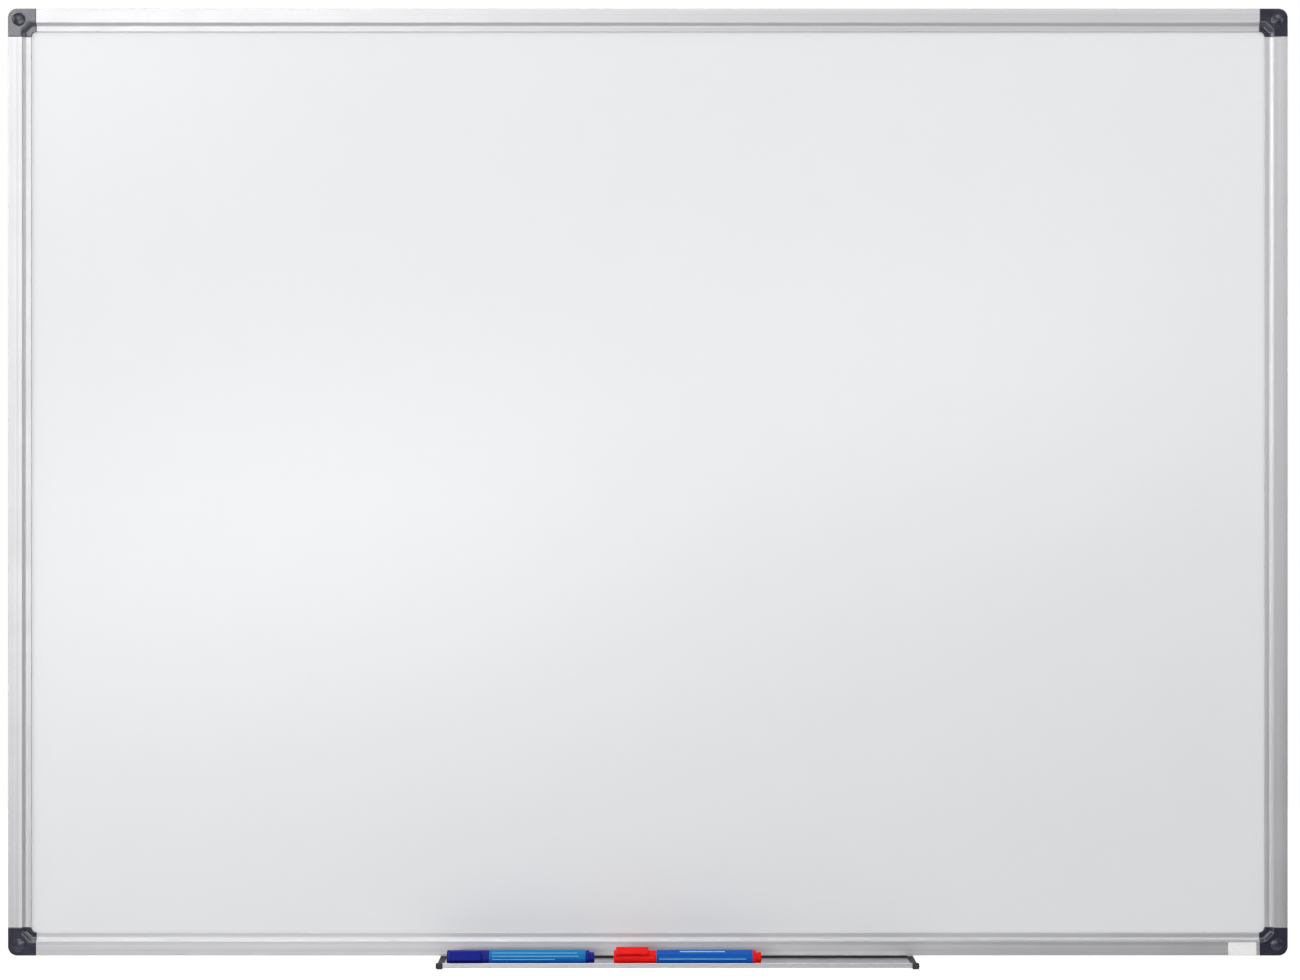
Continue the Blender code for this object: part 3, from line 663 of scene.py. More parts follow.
def anodised_metal(name, stretch):
    """Satin anodised extrusion: die lines along its length, soft blotches, brighter rubbed edges."""
    material, tree, spot = new_finish(name, Metallic=1.0)
    lines = use(tree, drawn_lines, Vector=spot, Stretch=stretch)
    smears = use(tree, handling, Vector=spot, Smears_per_metre=14.0)["Smears"]
    plain = mixed(tree, spread(tree, lines["Tone"], 0.5, 0.95), anodised_dark, anodised_light)
    worn = mixed(tree, edge_mask(tree, spot, 0.5), plain, bare_metal)
    drawn = spread(tree, lines["Tone"], 0.5, 0.95, 0.42, 0.50)
    rough = sums(tree, "ADD", drawn, spread(tree, smears, 0.3, 0.7, -0.03, 0.03))
    return finished(material, worn, rough, lines["Height"], drawn_relief)


def moulded_plastic(
    name, colour, worn_colour, rough, gloss=0.5, depth=grain_relief, cells=mould_cells_per_metre, wear=0.6
):
    """Injection-moulded plastic: fine mould grain, slow shifts in tone, paler rubbed edges."""
    material, tree, spot = new_finish(name, Specular_IOR_Level=gloss)
    grain = use(tree, moulded_grain, Vector=spot, Cells_per_metre=cells)
    shadow = (*[grain_shadow_share * value for value in colour[:3]], 1.0)
    plain = mixed(tree, grain["Tone"], shadow, colour)
    worn = mixed(tree, edge_mask(tree, spot, wear), plain, worn_colour)
    smears = use(tree, handling, Vector=spot, Smears_per_metre=60.0)["Smears"]
    varied = spread(tree, smears, 0.3, 0.7, rough - rough_swing, rough + rough_swing)
    return finished(material, worn, varied, grain["Height"], depth)


def zinc_plate():
    """Bright zinc on steel screws: faint yellow and blue clouds, rubbed bright on the edges."""
    material, tree, spot = new_finish("zinc_screw_finish", Metallic=1.0)
    clouds = noise(tree, spot, zinc_clouds_per_metre, detail=3.0)
    tint = mixed(tree, spread(tree, clouds, 0.35, 0.65), srgb(188, 193, 200), srgb(206, 200, 180))
    worn = mixed(tree, edge_mask(tree, spot, 0.7), tint, bare_metal)
    rough = spread(tree, clouds, 0.3, 0.7, 0.26, 0.42)
    return finished(material, worn, rough, noise(tree, spot, zinc_grain_per_metre), fine_relief)


def spangled_steel():
    """Hot-dip zinc sheet: crystals some 10 mm wide, each with its own tone and gloss."""
    material, tree, spot = new_finish("zinc_sheet_finish", Metallic=1.0)
    sways = {side: noise(tree, spot, scale, detail=3.0) for side, scale in crystal_sways_per_metre}
    sway = put(tree, "ShaderNodeCombineXYZ", sways).outputs[0]
    push = stretched(tree, sway, (crystal_bend, 0, crystal_bend))
    bent = put(tree, "ShaderNodeVectorMath", {0: spot, 1: push}, operation="ADD").outputs[0]
    crystals = put(tree, "ShaderNodeTexVoronoi", {"Vector": bent, "Scale": crystals_per_metre}).outputs
    parts = put(tree, "ShaderNodeSeparateColor", {0: crystals["Color"]}).outputs
    flecks = put(tree, "ShaderNodeTexVoronoi", {"Vector": bent, "Scale": crystal_flecks_per_metre}).outputs
    fleck = put(tree, "ShaderNodeSeparateColor", {0: flecks["Color"]}).outputs[0]
    own_tone = sums(tree, "MULTIPLY", parts[0], crystal_tone_share)
    tone = sums(tree, "ADD", own_tone, sums(tree, "MULTIPLY", fleck, 1.0 - crystal_tone_share))
    colour = mixed(tree, tone, srgb(150, 153, 156), srgb(188, 191, 194))
    rough = spread(tree, parts[1], 0.0, 1.0, 0.34, 0.58)
    return finished(material, colour, rough, crystals["Distance"], crystal_relief)


def fibrous(name, stretch, dark, pale, depth, rough=None, **constants):
    """Pressed or felted fibres in two tones, with their own relief, and a range of roughness if any."""
    material, tree, spot = new_finish(name, **constants)
    strands = use(tree, fibres, Vector=spot, Stretch=stretch)["Fibres"]
    varied = spread(tree, strands, 0.0, 1.0, *rough) if rough else None
    return finished(material, mixed(tree, strands, dark, pale), varied, strands, depth)


def printed_film(colour):
    """Glossy printed sleeve: blue that turns to cyan on one side, with thin pale lines along it.

    The sleeve's own UV gives turns round it, counted from the clip, and metres along it. A line's
    mask is how near its turn is, within its ends.
    """
    material, tree, spot = new_finish(f"{colour}_label_film_finish", Specular_IOR_Level=0.15)
    where = put(tree, "ShaderNodeUVMap", uv_map="UVMap").outputs[0]
    sides = put(tree, "ShaderNodeSeparateXYZ", {0: where}).outputs

    def turns_from(degrees_up):
        """Turns between the surface point and a line along the sleeve, the short way round."""
        turn = (clip_angles[colour] - math.radians(degrees_up)) / (2 * math.pi)
        wrapped = sums(tree, "FRACT", sums(tree, "ADD", sides[0], 0.5 - turn), 0.0)
        return sums(tree, "ABSOLUTE", sums(tree, "SUBTRACT", wrapped, 0.5), 0.0)

    cyan = spread(tree, turns_from(film_cyan_degrees[colour]), *film_cyan_turns, 1.0, 0.0)
    tint = mixed(tree, cyan, film_blue, film_cyan)
    for degrees_up, half_width, start, end in film_lines[colour]:
        near = spread(tree, turns_from(degrees_up), half_width, half_width * film_line_fade, 1.0, 0.0)
        inside = sums(tree, "GREATER_THAN", sides[1], start)
        before = sums(tree, "LESS_THAN", sides[1], end)
        mask = sums(tree, "MULTIPLY", near, sums(tree, "MULTIPLY", inside, before))
        tint = mixed(tree, mask, tint, film_line)
    smears = use(tree, handling, Vector=spot, Smears_per_metre=90.0)["Smears"]
    rough = spread(tree, smears, 0.3, 0.7, 0.26, 0.36)
    return finished(material, tint, rough, noise(tree, spot, film_grain_per_metre), film_relief)


# Placing and dressing pieces

def dress(piece, material, body, slot, *nodes):
    """Give a piece its finish and its body, and hide the CAD nodes it stands for. Its slot is not used."""
    piece.data.materials.clear()
    piece.data.materials.append(material)
    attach(piece, body)
    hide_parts(*nodes)


def refinish(node, material):
    """Give a CAD node that stays a better material."""
    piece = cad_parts[node]
    if not piece.material_slots:
        piece.data.materials.append(material)
    for place in piece.material_slots:
        place.material = material


corner_names = ("bottom_left", "bottom_right", "top_right", "top_left")
rail_names = ("bottom_rail", "right_rail", "top_rail", "left_rail")
rail_ends = (("left", "right"), ("bottom", "top"), ("right", "left"), ("top", "bottom"))


def corner_place(index):
    """Origin at a frame corner on the wall plane, X and Y inwards along its two rails."""
    turn = index * math.pi / 2
    x_axis = (math.cos(turn), 0, math.sin(turn))
    y_axis = (-math.sin(turn), 0, math.cos(turn))
    corner_x = board_left if index in (0, 3) else board_right
    corner_z = board_bottom if index in (0, 1) else board_top
    return axes(x_axis, y_axis, (corner_x, 0, corner_z))


def rail_screw_places(index):
    """A rail's two screws, over the legs inside it, with local Z out of the head to the wall."""
    run = cap_size + rail_screw_run
    to_wall = axes((1, 0, 0), (0, -1, 0), (0, 0, 0))
    near = corner_place(index) @ shifted(run, chamber_middle, 0) @ to_wall
    far = corner_place((index + 1) % len(corner_names)) @ shifted(chamber_middle, run, 0) @ to_wall
    return near, far


def upright_place():
    """Section X along world X and section Y up, with the length towards the viewer."""
    return axes((1, 0, 0), (0, 0, 1), (0, 0, 0))


def side_place(x):
    """Section X towards the wall and section Y up, with the length along world X."""
    return axes((0, 1, 0), (0, 0, 1), (x, 0, 0))


def cove_drop(share):
    """The cove's depth below the band, at a share of its width: all but a power of what is left."""
    return cove_depth * (1 - (1 - share) ** cove_power)


def rail_outline():
    """The rail's section: band, cove, lip, panel slot, back wall and the groove on its outer side."""
    share = np.linspace(1, 0, cove_steps)
    cove = np.stack([band_width + cove_width * share, frame_depth - cove_drop(share)], axis=1)
    groove_half = [
        (0, groove_mouth / 2, fine_edge),
        (rail_wall, groove_mouth / 2, fine_edge),
        (rail_wall, groove_width / 2, 0),
        (rail_wall + groove_room, groove_width / 2, 0),
    ]
    corners = [
        (0, 0, soft_edge),
        (rail_width - rear_lip_short, 0, soft_edge),
        (rail_width - rear_lip_short, rail_wall, fine_edge),
        (slot_floor, rail_wall, 0),
        (slot_floor, lip_back, 0),
        (rail_width, lip_back, fine_edge),
        (rail_width, lip_front, soft_edge),
        (band_width + cove_width + rim_edge, lip_front, 0),
        with_radius(cove[:-1]),
        (band_width, frame_depth, fine_edge),
        (0, frame_depth, rail_edge_radius),
        *[(x, groove_depth + y, edge) for x, y, edge in groove_half],
        *[(x, groove_depth - y, edge) for x, y, edge in groove_half[::-1]],
    ]
    return rounded(np.vstack(corners))


def chamber_outline():
    """The hollow inside the rail, which bends round the groove."""
    end = rail_wall + chamber_width
    front = frame_depth - rail_wall
    bend = groove_width / 2 + rail_wall
    corners = [(rail_wall, rail_wall), (end, rail_wall), (end, front), (rail_wall, front)]
    for x, y in ((rail_wall, bend), (chamber_start, bend), (chamber_start, -bend), (rail_wall, -bend)):
        corners.append((x, groove_depth + y))
    return rounded(with_radius(corners, soft_edge))


def countersink():
    """What a rail screw's cone and shank take out of the rail's back wall, from its face down."""
    sink = rail_head_radius + fit_gap
    hole = rail_shank_radius + fit_gap
    cone_end = -glue_line - rail_head_height
    return [(sink, cut_overrun), (sink, -glue_line), (hole, cone_end), (hole, -rail_wall - 2 * cut_overrun)]


def make_rails():
    """Four lengths of one extrusion, hollow, with two countersunk holes in the back of each."""
    for index, node in enumerate(rail_names):
        start = corner_place(index) @ side_place(cap_size + butt_gap)
        low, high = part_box(node)
        length = max(high - low)
        rail = plate(f"{node}_extrusion", rail_outline(), 0, length, rim_edge, start)
        hollow = (-cut_overrun, length + cut_overrun)
        combine(rail, plate("chamber", chamber_outline(), *hollow, 0, start))
        for place in rail_screw_places(index):
            drill(rail, countersink(), place)
        finish = anodised_across if index % 2 == 0 else anodised_upright
        dress(rail, finish, "root", "anodised_aluminium", node)


def cap_corners():
    """The cap's face: one round outer corner, and a hollow arc where the panel shows."""
    notch = cap_size - rail_width
    arc = ellipse((cap_size, cap_size), (notch, notch), 270, 180, crown_steps)
    corners = [
        (0, 0, cap_corner_radius),
        (cap_size, 0, soft_edge),
        (cap_size, rail_width, soft_edge),
        with_radius(arc[1:-1]),
        (rail_width, cap_size, soft_edge),
        (0, cap_size, soft_edge),
    ]
    return np.vstack(corners)


def spoke_to(level, normals, offsets, centre, way, limit):
    """How far along each spoke all the planes lie the level behind it, and at most the limit.

    A plane's distance at a point is normal . point - offset, so along a spoke it is reached at
    (level + offset - normal . centre) / (normal . way), and the last plane counts.
    """
    rise = way @ normals.T
    start = normals @ centre - offsets
    ahead = np.where(rise > least_rise, (level - start) / np.maximum(rise, least_rise), np.inf)
    return np.minimum(ahead.max(axis=1), limit)


def cap_body(name, place):
    """A corner cap as rings of spokes from the screw hole: bore, face, cove, walls, panel pocket.

    A point is the hole's centre plus a spoke's direction times a distance. The face's depth is the
    frame's less a drop that depends on how far the point lies inside the three lines of the step:
    a round edge first, then the rails' cove down to the level of their inner lip.
    """
    outline = divided(rounded(cap_corners(), corner_steps), cap_spacing)
    centre = np.array([screw_inset, screw_inset])
    reach = np.linalg.norm(outline - centre, axis=1)
    way = (outline - centre) / reach[:, None]
    quarter = np.linspace(0, math.pi / 2, edge_steps + 1)
    edge_share = soft_edge / cove_width
    share = np.linspace(edge_share, 1, cove_levels)
    rise = np.arange(edge_steps) / edge_steps
    levels = np.concatenate([soft_edge * (2 * rise - 1), cove_width * share, [cove_width + rim_edge]])
    drops = np.concatenate([cove_drop(edge_share) * rise**2, cove_drop(share), [cove_depth]])
    slant = math.sqrt(1 / 2)
    normals = np.array([(1, 0), (0, 1), (slant, slant)])
    offsets = np.array([band_width, band_width, (2 * band_width + cap_step_run) * slant])
    face_end = reach - cap_edge
    face_limit = face_end - cap_edge
    rings = []

    def ring(far, depth, edge=0.0):
        """Add a ring: how far along every spoke, how deep, and its edge weight."""
        rings.append([np.broadcast_to(value, reach.shape) for value in (far, depth, edge)])

    def depth_at(distance):
        """The face's depth at a distance along every spoke."""
        spot = centre + way * distance[:, None]
        level = (spot @ normals.T - offsets).min(axis=1)
        return frame_depth - np.interp(level, levels, drops)

    hole = wall_shank_radius + fit_gap
    pocket = cover_radius + fit_gap
    ring(hole, 0)
    ring(hole, wall_head_seat)
    ring(head_recess_radius, wall_head_seat)
    ring(head_recess_radius, cover_pocket_floor)
    ring(pocket, cover_pocket_floor)
    for angle in quarter:
        drop = fine_edge * (1 - np.sin(angle))
        ring(pocket + fine_edge * (1 - np.cos(angle)), frame_depth - drop, np.sin(2 * angle))
    ring(pocket + fine_edge + cap_edge, frame_depth)
    for number, level in enumerate(levels):
        far = spoke_to(level, normals, offsets, centre, way, face_limit)
        ring(far, depth_at(far), np.where(far < face_limit, float(number in worn_levels), 0))
    ring(face_limit, depth_at(face_limit))
    for angle in quarter:
        drop = cap_edge * (1 - np.cos(angle))
        ring(face_end + cap_edge * np.sin(angle), depth_at(face_end) - drop, np.sin(2 * angle))
    inside = spoke_to(0, normals[:2], np.full(2, panel_inset - fit_gap), centre, way, reach)
    for far, depth in ((reach, lip_back), (inside, lip_back), (inside, rail_wall), (reach, rail_wall)):
        ring(far, depth)
    for angle in quarter[::-1]:
        ring(reach - soft_edge * (1 - np.sin(angle)), soft_edge * (1 - np.cos(angle)))
    far, depth, edge = np.moveaxis(np.array(rings), 1, 0)
    grid = np.concatenate([centre + way * far[..., None], depth[..., None]], axis=2)
    return surface(name, carried(grid, place), edge, loop=True)


def make_corner_caps():
    """Four moulded caps, each with two legs that fill the rails' hollow and take their screws."""
    near = cap_size - cut_overrun
    far = cap_size + leg_length
    low = chamber_start + fit_gap
    high = rail_wall + chamber_width - fit_gap
    back = rail_wall + fit_gap
    front = frame_depth - rail_wall - fit_gap
    thread = rail_shank_radius + fit_gap / 2
    bottom = -rail_head_height - rail_shank_length - rail_screw_point - fit_gap
    for index, corner in enumerate(corner_names):
        place = corner_place(index)
        cap = cap_body(f"corner_cap_{corner}_moulding", place)
        combine(cap, box("leg", (near, low, back), (far, high, front), place), "UNION")
        combine(cap, box("leg", (low, near, back), (high, far, front), place), "UNION")
        before = (index - 1) % len(corner_names)
        for screw_place in (rail_screw_places(index)[0], rail_screw_places(before)[1]):
            drill(cap, [(thread, cut_overrun), (thread, bottom)], screw_place)
        dress(cap, plastic["anthracite_plastic"], "root", "anthracite_plastic", f"corner_cap_{corner}")


def make_screw_covers():
    """Covers with a hollow skirt, one over each wall screw; the dome falls by the radius squared."""
    rim_top = frame_depth - cover_rim
    rim_bottom = cover_pocket_floor + fit_gap
    skirt = head_recess_radius - fit_gap
    skirt_inner = skirt - cover_skirt_wall
    skirt_bottom = rim_bottom - cover_skirt_length
    roof = frame_depth + cover_crown - cover_roof
    across = np.linspace(0, 1, dome_steps)
    dome = rim_top + (cover_crown + cover_rim) * (1 - across**2)
    corners = [
        with_radius(np.column_stack([across[:-1] * cover_radius, dome[:-1]])),
        (cover_radius, rim_top, fine_edge),
        (cover_radius, rim_bottom, fine_edge),
        (skirt, rim_bottom, 0),
        (skirt, skirt_bottom, soft_edge),
        (skirt_inner, skirt_bottom, fine_edge),
        (skirt_inner, roof, 0),
        (0, roof, 0),
    ]
    profile = rounded(np.vstack(corners))
    for index, corner in enumerate(corner_names):
        place = corner_place(index) @ shifted(screw_inset, screw_inset, 0)
        node = f"screw_cover_{corner}"
        cover = turned(f"{node}_dome", profile, place)
        dress(cover, plastic["screw_cover_plastic"], f"cover_{corner}", "anthracite_plastic", node)


def cross_recess(head_radius, head_top, head_height, place):
    """The cross that a driver fits, narrower towards its bottom: three points turned four ways."""
    bar = head_radius * recess_bar_share
    tip = bar * recess_tip_share
    far = head_radius * recess_reach_share
    floor = head_top - head_height * recess_depth_share
    turn = np.arange(4)[:, None] * math.pi / 2
    arm = np.array([(far, -tip), (far, tip), (bar, bar)])
    x = np.cos(turn) * arm[:, 0] - np.sin(turn) * arm[:, 1]
    y = np.sin(turn) * arm[:, 0] + np.cos(turn) * arm[:, 1]
    outline = np.stack([x.ravel(), y.ravel()], axis=1)
    heights = ((head_top + cut_overrun, 1), (floor, recess_floor_share))
    rows = [np.column_stack([outline * share, np.full(len(outline), height)]) for height, share in heights]
    return surface("cross", carried(np.stack(rows), place), fill=True)


def screw(name, head, shank_radius, length, point, pitch, place):
    """A threaded screw below its head's profile, with local Z out of the head.

    Below the head the radius is the root plus the thread's depth times a triangle wave of height
    over pitch plus turns round the shank, which is one helix. It fades in over the first pitch,
    and the whole narrows to nothing over the point.
    """
    turns = np.arange(screw_steps) / screw_steps
    rows = int((length + point) / pitch * rows_per_pitch)
    fall = np.linspace(0, length + point, rows)[:, None]
    wave = 1 - np.abs(2 * ((fall / pitch + turns) % 1) - 1)
    thread = shank_radius * thread_share
    radius = shank_radius - thread + thread * wave * np.clip(fall / pitch, 0, 1)
    radius = radius * np.clip((length + point - fall) / point, 0, 1)
    height = np.broadcast_to(head[-1, 1] - fall, radius.shape)
    radius = np.vstack([np.broadcast_to(head[:, :1], (len(head), screw_steps)), radius])
    height = np.vstack([np.broadcast_to(head[:, 1:], (len(head), screw_steps)), height])
    angle = turns * 2 * math.pi
    grid = np.stack([radius * np.cos(angle), radius * np.sin(angle), height], axis=-1)
    edge = np.concatenate([sharpness(head), np.zeros(rows)])[:, None]
    return surface(name, carried(grid, place), edge)


def pan_head(radius, height):
    """A pan head's profile: a low crown, an edge, and the flat underside at height 0."""
    side = height / 2
    crown = ellipse((0, side), (radius, height - side), 90, 0, crown_steps)
    return rounded(np.vstack([with_radius(crown), (radius, 0, fine_edge), (radius / 3, 0, 0)]))


def fit_screw(node, body, head, shank, cross_sizes, place):
    """A screw in its place, with its cross cut into the head."""
    made = screw(f"{node}_thread", head, *shank, place)
    combine(made, cross_recess(*cross_sizes, place))
    dress(made, zinc_finish, body, "zinc_screw", node)


def make_screws():
    """Wall screws under the covers, and countersunk screws in the rails' backs."""
    head = pan_head(wall_head_radius, wall_head_height)
    seat = wall_head_seat + fit_gap
    shank = (wall_shank_radius, seat + wall_screw_grip, wall_screw_point, wall_screw_pitch)
    cross_sizes = (wall_head_radius, wall_head_height, wall_head_height)
    for index, corner in enumerate(corner_names):
        place = corner_place(index) @ shifted(screw_inset, screw_inset, seat)
        fit_screw(f"wall_screw_{corner}", "root", head, shank, cross_sizes, place)
    top = -glue_line
    cone = [(0, top, 0), (rail_head_radius, top, 0), (rail_shank_radius / 2, top - rail_head_height, 0)]
    shank = (rail_shank_radius, rail_shank_length, rail_screw_point, rail_screw_pitch)
    cross_sizes = (rail_head_radius, top, rail_head_height)
    for index, rail in enumerate(rail_names):
        for end, place in zip(rail_ends[index], rail_screw_places(index)):
            fit_screw(f"{rail}_screw_{end}", "root", rounded(cone), shank, cross_sizes, place)


def make_label():
    """The small blank label on the bottom rail, with rounded corners."""
    low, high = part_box("blank_label")
    corners = [(low.x, low.z), (high.x, low.z), (high.x, high.z), (low.x, high.z)]
    outline = rounded(with_radius(corners, label_corner_radius))
    label = plate("blank_label_film", outline, -high.y, -low.y, label_edge, upright_place())
    dress(label, paper, "root", "blank_paper", "blank_label")


def tray_outline():
    """The tray's section: floor, front lip, T-shaped tongue in the rail's groove, screw port."""
    stem = groove_mouth / 2 - fit_gap
    head = groove_width / 2 - fit_gap
    head_bottom = board_bottom + rail_wall + fit_gap
    head_top = board_bottom + rail_wall + groove_room - fit_gap
    tongue_half = [(stem, tray_top), (stem, head_bottom), (head, head_bottom), (head, head_top)]
    lip_inner = tray_front_depth - tray_lip_wall
    lip_top = tray_top + tray_lip_height
    lip_round = tray_lip_wall * tray_lip_round_share
    port_bottom = tray_bottom - port_height
    corners = [
        (-tray_rear_inset, tray_bottom, soft_edge),
        (-tray_rear_inset, tray_top, soft_edge),
        *[(-groove_depth + y, z, fine_edge) for y, z in tongue_half],
        *[(-groove_depth - y, z, fine_edge) for y, z in tongue_half[::-1]],
        (-lip_inner, tray_top, soft_edge),
        (-lip_inner, lip_top, lip_round),
        (-tray_front_depth, lip_top, lip_round),
        (-tray_front_depth, tray_bottom, tray_heel_radius),
        (-port_depth - port_width / 2, tray_bottom, fine_edge),
        (-port_depth - port_width / 2, port_bottom, soft_edge),
        (-port_depth + port_width / 2, port_bottom, soft_edge),
        (-port_depth + port_width / 2, tray_bottom, fine_edge),
    ]
    return rounded(corners, tray_round_steps)


def end_cap_outline():
    """The end plate: level with the tray's floor, a slope up to the lip, and down round the port."""
    front = tray_front_depth + end_cap_border
    top = tray_top + tray_lip_height + fit_gap
    bottom = tray_bottom - end_cap_border
    rear = tray_rear_inset - end_cap_border / 2
    lip_inner = tray_front_depth - tray_lip_wall - end_cap_border / 2
    port_bottom = tray_bottom - port_height - end_cap_border
    port_half = port_width / 2 + end_cap_border
    corners = [
        (-rear, tray_bottom - end_cap_border / 2, end_cap_turn),
        (-rear, tray_top, end_cap_turn),
        (-lip_inner + top - tray_top, tray_top, end_cap_turn),
        (-lip_inner, top, end_cap_turn),
        (-front, top, end_cap_round),
        (-front, bottom, end_cap_round),
        (-port_depth - port_half - end_cap_border, bottom, soft_edge),
        (-port_depth - port_half, port_bottom, end_cap_foot_round),
        (-port_depth + port_half, port_bottom, end_cap_foot_round),
    ]
    return rounded(corners, tray_round_steps)


def corner_cutter(outer, height, outward, up):
    """What rounds an end cap's lip, seen from the front: a square corner less a quarter circle."""
    reach = end_cap_corner
    centre = (outer - outward * reach, height - up * reach)
    arc = ellipse(centre, (outward * reach, up * reach), 0, 90, lip_corner_steps)
    corners = [
        (centre[0], height + up * cut_overrun),
        (outer + outward * cut_overrun, height + up * cut_overrun),
        (outer + outward * cut_overrun, centre[1]),
    ]
    depths = (tray_front_depth - tray_lip_wall - end_cap_border, tray_front_depth + 2 * end_cap_border)
    return plate("corner", np.vstack([arc, corners]), *depths, 0, upright_place())


def make_tray():
    """Tray extrusion with its screw port, and the ribbed glide strip behind it."""
    low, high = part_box("tray_profile")
    length = high.x - low.x
    start = side_place(low.x)
    tray = plate("tray_extrusion", tray_outline(), 0, length, rim_edge, start)
    angle = np.arange(screw_steps) * 2 * math.pi / screw_steps
    bore = np.stack([np.cos(angle), np.sin(angle)], axis=1) * port_bore_radius
    bore = bore + (-port_depth, port_height_middle)
    combine(tray, plate("bore", bore, -cut_overrun, length + cut_overrun, 0, start))
    dress(tray, anodised_across, "tray", "anodised_aluminium", "tray_profile")

    # The glide strip is the tray's own part; its near-black colour is painted shade for the dark gap under
    # the bottom rail.
    low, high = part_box("tray_glide_strip")
    ribs = np.linspace(low.y, high.y, glide_ribs)
    upper = [(y, high.z if number % 2 else high.z - soft_edge, 0) for number, y in enumerate(ribs)]
    corners = [*upper[::-1], (low.y, low.z, fine_edge), (high.y, low.z, fine_edge)]
    strip = plate("glide_strip", rounded(corners), 0, high.x - low.x, 0, side_place(low.x))
    dress(strip, plastic["black_strip"], "tray", "black_strip", "tray_glide_strip")


def make_tray_ends():
    """The tray's end caps, each held by a screw whose head is sunk in it."""
    head = pan_head(tray_head_radius, tray_head_height)
    shank = (port_bore_radius - fit_gap / 2, tray_shank_length, tray_screw_point, tray_screw_pitch)
    cross_sizes = (tray_head_radius, tray_head_height, tray_head_height)
    sink = tray_head_radius + fit_gap
    hole = port_bore_radius + fit_gap
    for side, sign in (("left", -1), ("right", 1)):
        node = f"tray_end_cap_{side}"
        low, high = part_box(node)
        wide = high.x - low.x
        deep = wide + cut_overrun
        outer = low.x if sign < 0 else high.x
        cap = plate(f"{node}_moulding", end_cap_outline(), 0, wide, end_cap_edge, side_place(low.x))
        place = axes((0, sign, 0), (0, 0, 1), (outer, -port_depth, port_height_middle))
        walls = [(sink, cut_overrun), (sink, -tray_head_sink), (hole, -tray_head_sink), (hole, -deep)]
        drill(cap, walls, place)
        combine(cap, corner_cutter(outer, tray_bottom - end_cap_border, sign, -1))
        combine(cap, corner_cutter(outer, tray_top + tray_lip_height + fit_gap, sign, 1))
        dress(cap, plastic["dark_grey_plastic"], "tray", "dark_grey_plastic", node)
        seat = place @ shifted(0, 0, fit_gap - tray_head_sink)
        fit_screw(f"tray_screw_{side}", "tray", head, shank, cross_sizes, seat)


def marker_place(colour):
    """Local Z along the marker from its cap's end, local X towards its clip."""
    low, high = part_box(f"{colour}_marker_barrel")
    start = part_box(f"{colour}_marker_cap")[0].x
    lean = clip_angles[colour]
    to_clip = (0, -math.cos(lean), math.sin(lean))
    to_side = (0, -math.sin(lean), -math.cos(lean))
    return axes(to_clip, to_side, (start, (low.y + high.y) / 2, (low.z + high.z) / 2))


def clip_outline():
    """The clip's side view, from its root on the cap's closed end to the bead at its tip."""
    inner = marker_cap_radius + clip_stand
    outer = inner + clip_wall
    root = marker_cap_radius - clip_stand
    root_end = clip_start + clip_root
    end = clip_start + clip_length
    start_round, tip_round, bead_round = np.array(clip_round_shares) * clip_wall
    corners = [
        (root, clip_start, 0),
        (outer, clip_start, start_round),
        (outer, end, tip_round),
        (inner - clip_bead, end, bead_round),
        (inner - clip_bead, end - clip_bead_length, 2 * soft_edge),
        (inner, end - clip_bead_length - clip_bead, soft_edge),
        (inner, root_end + clip_bead, 2 * soft_edge),
        (inner - clip_bead, root_end, soft_edge),
        (root, root_end, 0),
    ]
    return rounded(corners)


